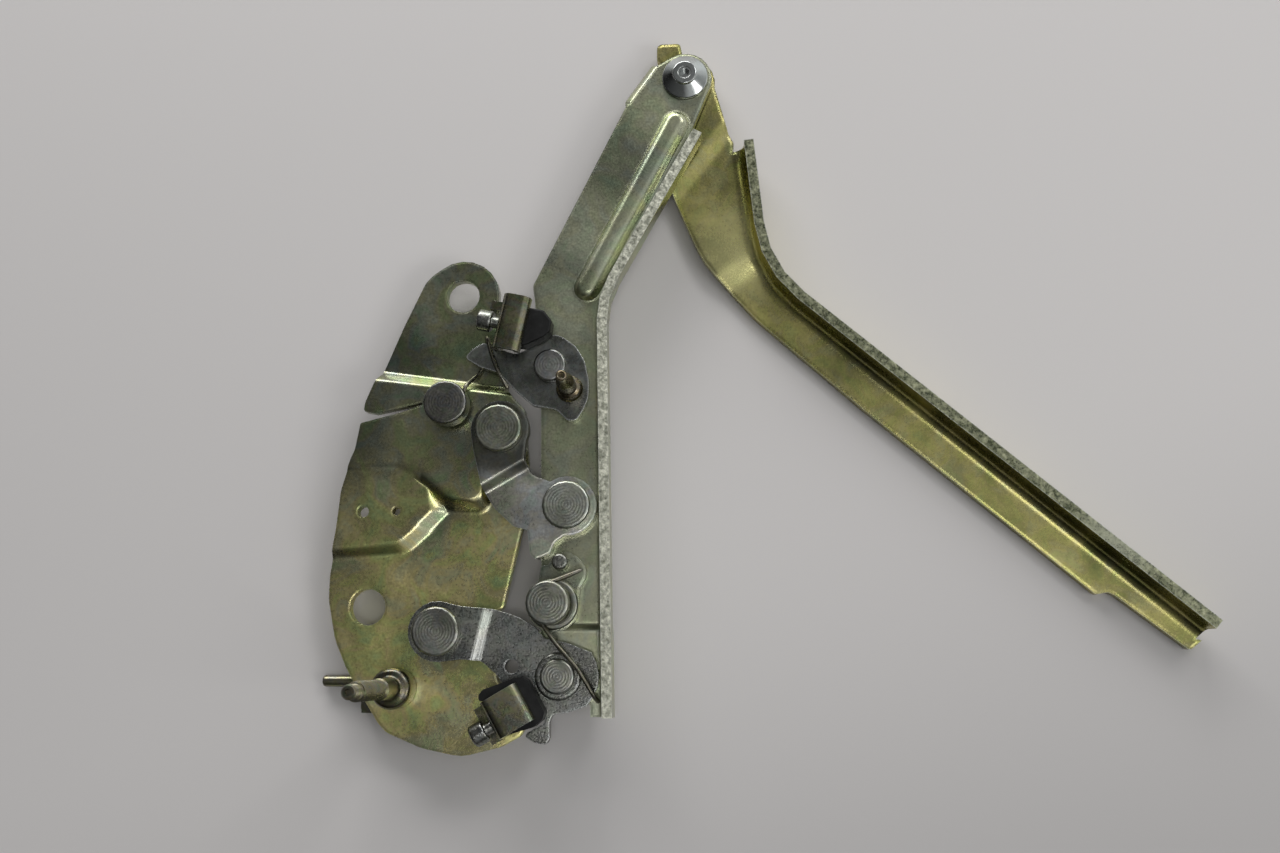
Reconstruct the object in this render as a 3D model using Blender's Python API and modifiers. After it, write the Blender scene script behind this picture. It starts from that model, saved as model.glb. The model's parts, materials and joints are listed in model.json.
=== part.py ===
"""Hood hinge: a body plate, two links and a mid arm form a four-bar lift, and a hood arm folds on the mid arm.

Metres, +Z up. The plate's tab lies on the XY plane: its rear face, at z = 0, is the face that bolts to the body.
X runs from the body side to the hood side and Y runs up the mid arm. Outlines are typed in millimetres.
"""
import math

import bmesh
import bpy
from mathutils import Matrix, Vector

MM = 0.001

# Fits
GAP = 0.0003
RUN_CLEARANCE = 0.0005
LINK_END_PLAY = 0.0003

# Sheet thicknesses
BASE_SHEET = 0.0035
ARM_SHEET = 0.0035
HOOD_SHEET = 0.0035
LINK_SHEET = 0.0040
LEVER_SHEET = 0.0030
PAWL_SHEET = 0.0025
STOP_SHEET = 0.0021
PIN_BRACKET_SHEET = 0.0018

# Pressed steps and reliefs
RIDGE_RISE = 0.0050
PAD_RISE = 0.0030
ARM_STEP = 0.0020
BEAD_RISE = 0.0030
LOWER_LINK_STEP = 0.0020
ARM_FLANGE_HEIGHT = 0.0120
HOOD_FLANGE_HEIGHT = 0.0150
ARM_BEND = 0.0015
HOOD_BEND = 0.0045
LUG_DEPTH = 0.0045
LUG_BEND = 0.0008

# Pivot centres in the XY plane
UPPER_BASE_PIVOT = (0.0240, -0.0375)
UPPER_ARM_PIVOT = (0.0475, -0.0640)
LOWER_ARM_PIVOT = (0.0450, -0.1215)
LOWER_BASE_PIVOT = (0.0035, -0.1065)
HOOD_PIVOT = (0.0890, 0.0950)
LATCH_PIVOT = (0.0410, -0.0145)
PAWL_PIVOT = (0.0430, -0.0975)

# Other centres in the XY plane
TAB_HOLE = (0.0077, 0.0137)
BODY_HOLE = (-0.0229, -0.0980)
STUD = (-0.0115, -0.1255)
CATCH_POST = (0.0055, -0.0285)
STRIKER = (0.0480, -0.0230)
PAWL_PIN = (0.0455, -0.0833)
VENT_HOLES = ((-0.0250, -0.0650, 0.0020), (-0.0132, -0.0650, 0.0014))
LINK_HOLE = (0.0290, -0.1182)

# Holes and lobes
TAB_HOLE_R = 0.0060
BODY_HOLE_R = 0.0063
LINK_HOLE_R = 0.0024
TAB_R = 0.0133
LINK_LOBE_R = 0.0102
UPPER_ARM_LOBE_R = 0.0103
LOWER_ARM_LOBE_R = 0.0136
ARM_END_R = 0.0098
HOOD_END_R = 0.0110
ARM_LOWER_LOBE_R = 0.0085
LEVER_END_R = 0.0135

# Rivets
SHANK_R = 0.0050
HEAD_R = 0.0083
HEAD_HEIGHT = 0.0035
REAR_HEAD_R = 0.0075
REAR_HEAD_HEIGHT = 0.0025
HEAD_CHAMFER = 0.0006
COUPLER_PLAY = 0.0004
LATCH_HEAD_R = 0.0058
LATCH_SHANK_R = 0.0040
RING_R = 0.0080
RING_HEIGHT = 0.0015
LOWER_HEAD_R = 0.0059
WASHER_R = 0.0078

# Posts, studs and bolts
POST_NECK_R = 0.0048
POST_NECK_HEIGHT = 0.0024
POST_HEAD_R = 0.0077
POST_HEAD_HEIGHT = 0.0068
POST_REAR_R = 0.0058
STUD_SHAFT_R = 0.0036
STUD_THREAD_R = 0.0033
STUD_TIP_R = 0.0024
STUD_COLLAR_R = 0.0070
STUD_COLLAR_HEIGHT = 0.0088
STUD_PLAIN_LENGTH = 0.0130
STUD_THREAD_LENGTH = 0.0238
STUD_TIP_LENGTH = 0.0065
SPRING_POST_FLANGE_R = 0.0087
SPRING_POST_FLANGE_HEIGHT = 0.0015
SPRING_POST_NECK_R = 0.0052
SPRING_POST_NECK_HEIGHT = 0.0092
SPRING_POST_HEAD_R = 0.0073
SPRING_POST_REAR_R = 0.0062
PAWL_PIN_R = 0.0028
PAWL_PIN_SHANK_R = 0.0018
PAWL_PIN_HEIGHT = 0.0040
STRIKER_COLLAR_R = 0.0048
STRIKER_HEIGHT = 0.0220
STRIKER_TIP_R = 0.0019
SCREW_SHANK_R = 0.0050
SCREW_HEAD_R = 0.0085
SCREW_TOP_R = 0.0045
SCREW_HEAD_HEIGHT = 0.0047
SCREW_SOCKET_R = 0.0023
SCREW_SOCKET_DEPTH = 0.0025
BUSH_WALL = 0.0012
BUSH_FLANGE = 0.0008
BUSH_FLANGE_R = 0.0095
NUT_HEIGHT = 0.0027
NUT_R = 0.0082
PIN_R = 0.0020
PIN_REACH = 0.0151
PIN_TAIL = 0.0013
STOP_LIP = 0.0040
STOP_BEND = 0.0022
STOP_SCREW_R = 0.0016
STOP_SCREW_REACH = 0.0060
STOP_SCREW_HEAD_R = 0.0038

# Springs
PAWL_WIRE_R = 0.00085
PAWL_COIL_PITCH = 0.00195
LATCH_WIRE_R = 0.00080

# Levels worked out from the sizes above
BASE_TOP = BASE_SHEET
RIDGE_TOP = BASE_TOP + RIDGE_RISE
ARM_TOP = BASE_TOP + ARM_STEP
ARM_BOTTOM = ARM_TOP - ARM_SHEET
ARM_LOW_TOP = ARM_TOP - ARM_STEP
ARM_LOW_BOTTOM = ARM_LOW_TOP - ARM_SHEET
UPPER_LINK_HIGH = RIDGE_TOP + GAP
UPPER_LINK_LOW = ARM_TOP + GAP
LOWER_LINK_LOW = max(BASE_TOP, ARM_LOW_TOP) + GAP
LOWER_LINK_HIGH = LOWER_LINK_LOW + LOWER_LINK_STEP
LEVER_BOTTOM = ARM_TOP + GAP
LEVER_TOP = LEVER_BOTTOM + LEVER_SHEET
PAWL_BOTTOM = ARM_TOP + GAP
PAWL_TOP = PAWL_BOTTOM + PAWL_SHEET
LOWEST_REAR_HEAD = min(ARM_LOW_BOTTOM, ARM_BOTTOM) - GAP - REAR_HEAD_HEIGHT
HOOD_TOP = ARM_BOTTOM - BUSH_FLANGE - 2 * GAP
HOOD_BOTTOM = HOOD_TOP - HOOD_SHEET
HOOD_WEB_TOP = min(LOWEST_REAR_HEAD - RUN_CLEARANCE, HOOD_BOTTOM - NUT_HEIGHT - GAP + HOOD_SHEET)
HOOD_WEB_BOTTOM = HOOD_WEB_TOP - HOOD_SHEET
HOOD_DROP = HOOD_TOP - HOOD_WEB_TOP
REST_PLANE = HOOD_WEB_BOTTOM

# Shape of a pressed slope, as shares of its run and of its rise
SLOPE = ((0.28, 0.14), (0.72, 0.86))
BEAD_SHAPE = ((0.0049, 0.0), (0.0043, 0.43), (0.0032, 0.80), (0.0016, 1.0))

# Mesh fineness
ROUND_STEPS = 20
CORNER_STEPS = 4
FLAT_ANGLE = math.radians(0.1)
ARC_STEP = math.radians(18)
CLEAN = 0.000005
FUSE = 0.00002
PASS = 0.004

for scene_object in list(bpy.data.objects):
    bpy.data.objects.remove(scene_object, do_unlink=True)
for leftover in list(bpy.data.collections):
    bpy.data.collections.remove(leftover)

PARTS = bpy.data.collections.new("hood_hinge")
CUTTERS = bpy.data.collections.new("cutters")
bpy.context.scene.collection.children.link(PARTS)
bpy.context.scene.collection.children.link(CUTTERS)


def finish(name, colour, metallic, roughness):
    """A Principled BSDF material."""
    material = bpy.data.materials.new(name)
    material.use_nodes = True
    shader = material.node_tree.nodes["Principled BSDF"]
    shader.inputs["Base Color"].default_value = (*colour, 1.0)
    shader.inputs["Metallic"].default_value = metallic
    shader.inputs["Roughness"].default_value = roughness
    return material


OLIVE_ZINC = finish("olive_zinc", (0.30, 0.29, 0.18), 0.9, 0.45)
YELLOW_ZINC = finish("yellow_zinc", (0.42, 0.38, 0.17), 0.9, 0.35)
GREY_ZINC = finish("grey_zinc", (0.30, 0.31, 0.31), 0.9, 0.40)
BRIGHT_ZINC = finish("bright_zinc", (0.45, 0.46, 0.46), 0.95, 0.30)
BLUE_ZINC = finish("blue_zinc", (0.33, 0.34, 0.37), 0.9, 0.38)
RIVET_STEEL = finish("rivet_steel", (0.22, 0.23, 0.23), 0.9, 0.42)
CHROME = finish("chrome", (0.75, 0.76, 0.77), 1.0, 0.12)
BRASS = finish("brass", (0.34, 0.24, 0.10), 0.9, 0.35)
BLACK_RUBBER = finish("black_rubber", (0.02, 0.02, 0.022), 0.0, 0.65)
SPRING_STEEL = finish("spring_steel", (0.24, 0.23, 0.20), 0.9, 0.38)
BRONZE = finish("bronze", (0.36, 0.26, 0.14), 0.9, 0.45)


def millimetres(points):
    """Outline points in metres; a third value is a corner radius, also in millimetres."""
    return [tuple(value * MM for value in point) for point in points]


def arc(centre, radius, start, end):
    """Points along an arc in the XY plane, from one angle to another in degrees, with no corner radius."""
    begin = math.radians(start)
    sweep = math.radians(end - start)
    count = max(2, math.ceil(abs(sweep) / ARC_STEP))
    angles = [begin + sweep * i / count for i in range(count + 1)]
    return [(centre[0] + radius * math.cos(a), centre[1] + radius * math.sin(a), 0.0) for a in angles]


def rounded(corners, radius=0.001, closed=True, steps=None):
    """The outline with each corner turned into an arc, kept within half of the sides beside it.

    Given steps make outlines with equal corner counts match point by point.
    """
    points = []
    count = len(corners)
    for i, corner in enumerate(corners):
        here = Vector(corner[:2])
        size = corner[2] if len(corner) > 2 else radius
        ends = not closed and i in (0, count - 1)
        if ends or size <= 0:
            points.append(here)
            continue
        before = Vector(corners[i - 1][:2]) - here
        after = Vector(corners[(i + 1) % count][:2]) - here
        half = before.angle(after) / 2
        reach = min(size / math.tan(half), 0.48 * before.length, 0.48 * after.length)
        if steps is None and math.pi / 2 - half < math.radians(3):
            points.append(here)
            continue
        size = reach * math.tan(half)
        bisector = (before.normalized() + after.normalized()).normalized()
        centre = here + bisector * (size / math.sin(half))
        first = here + before.normalized() * reach - centre
        turn = math.pi - 2 * half
        if before.cross(after) > 0:
            turn = -turn
        pieces = steps or max(1, math.ceil(abs(turn) / ARC_STEP))
        for k in range(pieces + 1):
            points.append(centre + Matrix.Rotation(turn * k / pieces, 2) @ first)
    return points


def circle(centre, radius, steps=ROUND_STEPS):
    """A closed ring of points."""
    return [
        Vector((centre[0] + radius * math.cos(2 * math.pi * i / steps),
                centre[1] + radius * math.sin(2 * math.pi * i / steps)))
        for i in range(steps)
    ]


def as_mesh(curve_object):
    """The evaluated curve as a mesh object whose loose caps are welded."""
    bpy.context.view_layer.update()
    evaluated = curve_object.evaluated_get(bpy.context.evaluated_depsgraph_get())
    mesh = bpy.data.meshes.new_from_object(evaluated)
    name = curve_object.name
    curve_object.name = name + "_curve"
    solid = bpy.data.objects.new(name, mesh)
    solid.matrix_world = curve_object.matrix_world.copy()
    for collection in curve_object.users_collection:
        collection.objects.link(solid)
    bpy.data.objects.remove(curve_object)
    work = bmesh.new()
    work.from_mesh(mesh)
    bmesh.ops.remove_doubles(work, verts=work.verts, dist=CLEAN)
    bmesh.ops.recalc_face_normals(work, faces=work.faces)
    work.to_mesh(mesh)
    work.free()
    return solid


def joined_faces(mesh):
    """Merge faces that lie in one plane."""
    work = bmesh.new()
    work.from_mesh(mesh)
    bmesh.ops.dissolve_limit(work, angle_limit=FLAT_ANGLE, verts=work.verts, edges=work.edges)
    work.to_mesh(mesh)
    work.free()


def plate(name, loops, bottom, thickness, collection=PARTS):
    """A flat sheet cut to an outline; further loops are holes."""
    curve = bpy.data.curves.new(name, "CURVE")
    curve.dimensions = "2D"
    curve.fill_mode = "BOTH"
    curve.extrude = thickness / 2
    for loop in loops:
        spline = curve.splines.new("POLY")
        spline.points.add(len(loop) - 1)
        for point, place in zip(spline.points, loop):
            point.co = (place[0], place[1], 0.0, 1.0)
        spline.use_cyclic_u = True
    sheet = bpy.data.objects.new(name, curve)
    sheet.location.z = bottom + thickness / 2
    collection.objects.link(sheet)
    solid = as_mesh(sheet)
    solid.data.transform(solid.matrix_world)
    solid.matrix_world = Matrix.Identity(4)
    joined_faces(solid.data)
    return solid


def applied(solid):
    """The object with its modifiers turned into mesh."""
    bpy.context.view_layer.update()
    evaluated = solid.evaluated_get(bpy.context.evaluated_depsgraph_get())
    mesh = bpy.data.meshes.new_from_object(evaluated)
    joined_faces(mesh)
    solid.modifiers.clear()
    solid.data = mesh
    return solid


def boolean(solid, tool, operation):
    """A Boolean modifier whose tool is kept with the cutters."""
    for collection in list(tool.users_collection):
        collection.objects.unlink(tool)
    CUTTERS.objects.link(tool)
    tool.hide_render = True
    tool.display_type = "WIRE"
    modifier = solid.modifiers.new(operation.lower(), "BOOLEAN")
    modifier.operation = operation
    modifier.solver = "EXACT"
    modifier.object = tool
    return applied(solid)


def loft(name, rings, collection=CUTTERS):
    """A closed solid through rings of equal point counts; each ring is (outline, z)."""
    mesh = bpy.data.meshes.new(name)
    work = bmesh.new()
    loops = [[work.verts.new((p[0], p[1], z)) for p in outline] for outline, z in rings]
    for low, high in zip(loops, loops[1:]):
        for i in range(len(low)):
            work.faces.new((low[i - 1], low[i], high[i], high[i - 1]))
    work.faces.new(loops[0])
    work.faces.new(loops[-1])
    bmesh.ops.recalc_face_normals(work, faces=work.faces)
    work.to_mesh(mesh)
    work.free()
    solid = bpy.data.objects.new(name, mesh)
    collection.objects.link(solid)
    return solid


def slope(low, high):
    """Outlines from the foot of a pressed slope to its crest, each with its share of the rise."""
    between = [([a.lerp(b, run) for a, b in zip(low, high)], share) for run, share in SLOPE]
    return [(low, 0.0)] + between + [(high, 1.0)]


def reliefs(sheet_object, areas, bottom, sheet):
    """Press raised areas into a sheet: all are added above, then hollowed below by the same depth."""
    for operation, level in (("UNION", bottom + sheet), ("DIFFERENCE", bottom)):
        for name, outlines, rise in areas:
            foot = outlines[0][0]
            raised = [(outline, level + rise * share) for outline, share in outlines[1:]]
            block = loft(name + operation.lower(), [(foot, level - sheet / 2), (foot, level - FUSE)] + raised)
            boolean(sheet_object, block, operation)


def step(solid, point, direction, run, rise, limit=None):
    """Shift everything past a line by a rise, along a smooth slope as long as the run."""
    ahead = Vector((direction[0], direction[1], 0.0)).normalized()
    origin = Vector((point[0], point[1], 0.0))
    work = bmesh.new()
    work.from_mesh(solid.data)
    slices = 4
    for i in range(slices + 1):
        everything = work.verts[:] + work.edges[:] + work.faces[:]
        place = origin + ahead * (run * i / slices)
        bmesh.ops.bisect_plane(work, geom=everything, plane_co=place, plane_no=ahead, dist=CLEAN)
    for vert in work.verts:
        if limit is not None and vert.co.z > limit:
            continue
        along = min(max((vert.co - origin).dot(ahead) / run, 0.0), 1.0)
        vert.co.z += rise * (0.5 - 0.5 * math.cos(math.pi * along))
    work.to_mesh(solid.data)
    work.free()


def offset(path, distance):
    """The path moved sideways, to its right."""
    moved = []
    for i, point in enumerate(path):
        before = path[max(i - 1, 0)]
        after = path[min(i + 1, len(path) - 1)]
        along = (after - before).normalized()
        moved.append(point + Vector((along.y, -along.x)) * distance)
    return moved


def seam_of(fold, distance):
    """Where a web ends inside the leg of its flange, clear of the flange's end faces."""
    line = offset(fold, distance)
    line[0] += (line[1] - line[0]).normalized() * RUN_CLEARANCE
    line[-1] += (line[-2] - line[-1]).normalized() * RUN_CLEARANCE
    return line


def flange(name, path, sheet, height, bend, leg, bottom, down=False):
    """A folded edge swept along a path: a leg that joins the web, a bend and an upright or hanging wall."""
    inner = max(bend - sheet, 0.0008)
    outer = inner + sheet
    turns = 4
    section = [(leg, FUSE)]
    corner = (outer, outer)
    for i in range(turns + 1):
        angle = -math.pi / 2 - math.pi / 2 * i / turns
        section.append((corner[0] + outer * math.cos(angle), corner[1] + outer * math.sin(angle) + FUSE))
    section += [(0.0, height), (sheet, height)]
    for i in range(turns + 1):
        angle = math.pi + math.pi / 2 * i / turns
        section.append((corner[0] + inner * math.cos(angle), corner[1] + inner * math.sin(angle) - FUSE))
    section.append((leg, sheet - FUSE))
    if down:
        section = [(across, sheet - z) for across, z in section]
    profile = bpy.data.curves.new(name + "_section", "CURVE")
    profile.dimensions = "2D"
    spline = profile.splines.new("POLY")
    spline.points.add(len(section) - 1)
    for point, place in zip(spline.points, section):
        point.co = (place[0], place[1], 0.0, 1.0)
    spline.use_cyclic_u = True
    guide = bpy.data.objects.new(name + "_section", profile)
    guide.hide_render = True
    CUTTERS.objects.link(guide)
    curve = bpy.data.curves.new(name, "CURVE")
    curve.dimensions = "3D"
    curve.twist_mode = "Z_UP"
    curve.bevel_mode = "OBJECT"
    curve.bevel_object = guide
    curve.use_fill_caps = True
    line = curve.splines.new("POLY")
    line.points.add(len(path) - 1)
    for point, place in zip(line.points, path):
        point.co = (place[0], place[1], bottom, 1.0)
    swept = bpy.data.objects.new(name, curve)
    CUTTERS.objects.link(swept)
    return as_mesh(swept)


def wire(name, points, radius):
    """A round wire along a list of places."""
    curve = bpy.data.curves.new(name, "CURVE")
    curve.dimensions = "3D"
    curve.bevel_depth = radius
    curve.bevel_resolution = 2
    curve.use_fill_caps = True
    line = curve.splines.new("POLY")
    line.points.add(len(points) - 1)
    for point, place in zip(line.points, points):
        point.co = (*place, 1.0)
    strand = bpy.data.objects.new(name, curve)
    PARTS.objects.link(strand)
    return as_mesh(strand)


def turned(name, profile, centre, collection=PARTS, steps=ROUND_STEPS):
    """A turned piece: the profile runs (radius, z) from the top of the axis down the outside to the bottom."""
    mesh = bpy.data.meshes.new(name)
    work = bmesh.new()
    verts = [work.verts.new((r, 0.0, z)) for r, z in profile]
    for first, second in zip(verts, verts[1:]):
        work.edges.new((first, second))
    work.to_mesh(mesh)
    work.free()
    solid = bpy.data.objects.new(name, mesh)
    solid.location = (centre[0], centre[1], 0.0)
    collection.objects.link(solid)
    screw = solid.modifiers.new("turn", "SCREW")
    screw.steps = steps
    screw.render_steps = steps
    screw.use_merge_vertices = True
    screw.merge_threshold = CLEAN
    return solid


def drill(solid, centre, radius, low, high, steps=ROUND_STEPS):
    """A round hole through a sheet, between two levels."""
    cutter = plate(solid.name + "_drill", [circle(centre, radius, steps)], low - PASS, high - low + 2 * PASS, CUTTERS)
    boolean(solid, cutter, "DIFFERENCE")


def rivet(name, centre, sheet_top, sheet_bottom, head_r=HEAD_R, shank_r=SHANK_R, head_height=HEAD_HEIGHT):
    """A headed rivet through a stack of sheets, with its rear head formed over."""
    head = sheet_top + GAP
    rear = sheet_bottom - GAP
    profile = [
        (0.0, head + head_height),
        (head_r - HEAD_CHAMFER, head + head_height),
        (head_r, head + head_height - HEAD_CHAMFER),
        (head_r, head),
        (shank_r, head),
        (shank_r, rear),
        (REAR_HEAD_R, rear),
        (REAR_HEAD_R, rear - REAR_HEAD_HEIGHT + HEAD_CHAMFER),
        (REAR_HEAD_R - HEAD_CHAMFER, rear - REAR_HEAD_HEIGHT),
        (0.0, rear - REAR_HEAD_HEIGHT),
    ]
    return turned(name, profile, centre)


def dress(solid, material, axis_empty, origin=None):
    """Shade, name the material, move the origin onto its axis and hang the piece on its body's empty."""
    solid.data.materials.clear()
    solid.data.materials.append(material)
    solid.data.shade_smooth()
    solid.data.set_sharp_from_angle(angle=math.radians(32))
    if origin is not None and not solid.modifiers:
        place = Vector((origin[0], origin[1], 0.0))
        solid.data.transform(solid.matrix_basis)
        solid.data.transform(Matrix.Translation(-place))
        solid.matrix_basis = Matrix.Translation(place)
    solid.parent = axis_empty
    solid.matrix_parent_inverse = axis_empty.matrix_basis.inverted()
    return solid


def axis(name, centre, parent=None):
    """An empty on a joint's axis."""
    empty = bpy.data.objects.new(name, None)
    empty.location = (centre[0], centre[1], 0.0)
    PARTS.objects.link(empty)
    if parent is not None:
        world = Matrix.Translation(empty.location)
        origin = Matrix.Translation(Vector(parent["world"]))
        empty.parent = parent
        empty.matrix_basis = origin.inverted() @ world
    empty["world"] = (centre[0], centre[1], 0.0)
    return empty


def hang(solid, material, body, origin=None):
    """Dress a piece and hang it on a body's empty, without moving it."""
    dress(solid, material, body, origin)
    solid.matrix_parent_inverse = Matrix.Translation(-Vector(body["world"]))
    return solid


BASE = axis("base_frame", (0.0, 0.0))
LOWER_LINK = axis("lower_link_axis", LOWER_BASE_PIVOT, BASE)
UPPER_LINK = axis("upper_link_axis", UPPER_BASE_PIVOT, BASE)
MID_ARM = axis("mid_arm_axis", LOWER_ARM_PIVOT, LOWER_LINK)
PAWL = axis("pawl_axis", PAWL_PIVOT, MID_ARM)
LATCH = axis("latch_axis", LATCH_PIVOT, MID_ARM)
HOOD = axis("hood_axis", HOOD_PIVOT, MID_ARM)


def base_plate():
    """The body plate: a low tab and a low lower field, with a raised ridge and a pad between them."""
    edge = arc(TAB_HOLE, TAB_R, 128, -12)
    edge += millimetres([
        (21.2, 6.0, 2), (23.0, -14.0, 3), (25.0, -21.8, 1), (28.0, -25.6, 2), (32.2, -29.8, 3),
        (33.0, -44.0, 8), (32.0, -66.0, 3), (24.9, -98.6, 1.5), (21.4, -99.8, 2), (19.5, -112.0, 4),
        (18.6, -116.4, 1.5), (22.6, -118.6, 2), (23.4, -123.2, 3), (29.5, -130.0, 4), (34.0, -140.0, 4),
        (25.2, -144.9, 6), (11.6, -148.2, 14), (-2.2, -145.4, 14), (-15.1, -140.1, 8), (-18.0, -136.7, 4),
        (-29.3, -119.4, 20), (-34.0, -109.2, 14), (-36.9, -95.5, 8), (-36.9, -86.9, 8), (-34.6, -71.0, 10),
        (-33.4, -57.3, 8), (-31.3, -49.8, 4), (-28.4, -43.0, 4), (-26.8, -33.6, 1),
        (-12.0, -29.9, 0), (-4.6, -27.3, 0.3), (-4.6, -26.5, 0.3), (-12.0, -28.3, 0), (-21.4, -30.2, 2),
        (-25.9, -29.4, 1.2), (-25.4, -26.0, 1), (-13.7, 2.9, 0), (-6.3, 19.2, 6), (-3.6, 22.0, 5),
    ])
    blank = millimetres([(-60.0, -170.0), (60.0, -170.0), (60.0, 50.0), (-60.0, 50.0)])
    body = plate("base_plate", [blank], 0.0, BASE_SHEET)
    trim = plate("base_trim", [rounded(edge)], -BASE_SHEET, RIDGE_RISE + 4 * BASE_SHEET, CUTTERS)
    ridge_low = rounded(millimetres([
        (-45.0, -10.0, 0), (45.0, -22.6, 0), (48.0, -40.0, 0), (36.8, -44.2, 6), (31.5, -51.3, 6),
        (20.4, -53.6, 4), (19.8, -66.2, 4), (4.5, -66.0, 8), (-6.5, -61.0, 12), (-15.0, -56.6, 10),
        (-45.0, -54.6, 0),
    ]), steps=CORNER_STEPS)
    ridge_high = rounded(millimetres([
        (-45.0, -16.2, 0), (45.0, -27.2, 0), (45.0, -40.0, 0), (33.6, -41.4, 6), (29.0, -47.6, 6),
        (17.6, -50.4, 4), (16.6, -61.4, 4), (7.0, -59.6, 8), (-5.0, -48.0, 8), (-12.0, -46.0, 8),
        (-45.0, -46.4, 0),
    ]), steps=CORNER_STEPS)
    pad_low = rounded(millimetres([
        (-45.0, -47.2, 0), (-12.0, -47.5, 4), (0.0, -56.5, 4), (6.0, -64.6, 1.5), (-0.4, -72.4, 12),
        (-9.0, -80.0, 10), (-45.0, -83.6, 0),
    ]), steps=CORNER_STEPS)
    pad_high = rounded(millimetres([
        (-45.0, -49.2, 0), (-12.0, -49.5, 4), (-2.6, -57.5, 4), (-1.6, -64.4, 1.5), (-6.6, -69.4, 10),
        (-11.6, -75.2, 8), (-45.0, -77.8, 0),
    ]), steps=CORNER_STEPS)
    ridge = ("ridge", slope(ridge_low, ridge_high), RIDGE_RISE)
    pad = ("pad", slope(pad_low, pad_high), PAD_RISE)
    reliefs(body, [ridge, pad], 0.0, BASE_SHEET)
    boolean(body, trim, "INTERSECT")
    low = -BASE_SHEET
    high = RIDGE_TOP
    drill(body, TAB_HOLE, TAB_HOLE_R, low, high)
    drill(body, BODY_HOLE, BODY_HOLE_R, low, high)
    drill(body, UPPER_BASE_PIVOT, SHANK_R + GAP, low, high)
    drill(body, LOWER_BASE_PIVOT, SHANK_R + GAP, low, high)
    drill(body, STUD, STUD_SHAFT_R + GAP, low, high, 20)
    drill(body, CATCH_POST, POST_NECK_R + GAP, low, high, 20)
    for x, y, radius in VENT_HOLES:
        drill(body, (x, y), radius, low, high, 14)
    hang(body, OLIVE_ZINC, BASE)


def catch_post():
    """The grooved post that the latch spring hooks round."""
    neck = RIDGE_TOP + GAP
    head = neck + POST_NECK_HEIGHT
    top = head + POST_HEAD_HEIGHT
    rear = RIDGE_RISE - GAP
    profile = [
        (0.0, top), (POST_HEAD_R - HEAD_CHAMFER, top), (POST_HEAD_R, top - HEAD_CHAMFER), (POST_HEAD_R, head),
        (POST_NECK_R, head), (POST_NECK_R, rear), (POST_REAR_R, rear), (POST_REAR_R, rear - REAR_HEAD_HEIGHT),
        (0.0, rear - REAR_HEAD_HEIGHT),
    ]
    hang(turned("catch_post", profile, CATCH_POST), RIVET_STEEL, BASE)


def body_stud():
    """The collared stud: a plain shaft, a threaded end and a small pilot tip, with a flange behind the plate."""
    collar = BASE_TOP + GAP
    shoulder = collar + STUD_COLLAR_HEIGHT
    thread = shoulder + STUD_PLAIN_LENGTH
    pilot = thread + STUD_THREAD_LENGTH
    top = pilot + STUD_TIP_LENGTH
    rear = -PIN_BRACKET_SHEET - 2 * GAP
    chamfer = HEAD_CHAMFER
    profile = [
        (0.0, top), (STUD_TIP_R - chamfer, top), (STUD_TIP_R, top - chamfer), (STUD_TIP_R, pilot),
        (STUD_THREAD_R - chamfer, pilot), (STUD_THREAD_R, pilot - chamfer), (STUD_THREAD_R, thread),
        (STUD_SHAFT_R, thread), (STUD_SHAFT_R, shoulder + chamfer), (STUD_SHAFT_R + chamfer, shoulder),
        (STUD_COLLAR_R - chamfer, shoulder), (STUD_COLLAR_R, shoulder - chamfer), (STUD_COLLAR_R, collar),
        (STUD_SHAFT_R, collar), (STUD_SHAFT_R, rear), (REAR_HEAD_R, rear), (REAR_HEAD_R, rear - REAR_HEAD_HEIGHT),
        (0.0, rear - REAR_HEAD_HEIGHT),
    ]
    hang(turned("body_stud", profile, STUD), OLIVE_ZINC, BASE)


def pin_carrier():
    """The angle bracket behind the plate, clamped by the stud, and the locating pin in its wall."""
    sheet = PIN_BRACKET_SHEET
    wall_x = STUD[0] - 0.0135
    width = 0.0170
    y0 = STUD[1] - width / 2
    y1 = STUD[1] + width / 2
    leaf = rounded([(wall_x, y0), (STUD[0] + 0.0105, y0), (STUD[0] + 0.0105, y1), (wall_x, y1)], 0.002)
    bracket = plate("pin_bracket", [leaf, circle(STUD, STUD_SHAFT_R + GAP, 20)], -GAP - sheet, sheet)
    wall_outline = [(wall_x, y0), (wall_x + sheet, y0), (wall_x + sheet, y1), (wall_x, y1)]
    wall = plate("pin_wall", [wall_outline], REST_PLANE, -REST_PLANE - GAP - sheet / 2, CUTTERS)
    boolean(bracket, wall, "UNION")
    pin_y = STUD[1] + 0.0023
    pin_z = (REST_PLANE - GAP - sheet) / 2
    hole = turned("pin_hole", [(0.0, PASS), (PIN_R + GAP, PASS), (PIN_R + GAP, -PASS), (0.0, -PASS)],
                  (0.0, 0.0), CUTTERS, 20)
    hole.location = (wall_x + sheet / 2, pin_y, pin_z)
    hole.rotation_euler = (0.0, math.pi / 2, 0.0)
    boolean(bracket, hole, "DIFFERENCE")
    hang(bracket, OLIVE_ZINC, BASE)
    profile = [
        (0.0, sheet + PIN_TAIL), (PIN_R, sheet + PIN_TAIL), (PIN_R, -PIN_REACH + HEAD_CHAMFER),
        (PIN_R - HEAD_CHAMFER, -PIN_REACH), (0.0, -PIN_REACH),
    ]
    pin = turned("locating_pin", profile, (0.0, 0.0), PARTS, 20)
    pin.location = (wall_x, pin_y, pin_z)
    pin.rotation_euler = (0.0, math.pi / 2, 0.0)
    hang(pin, OLIVE_ZINC, BASE)


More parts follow.
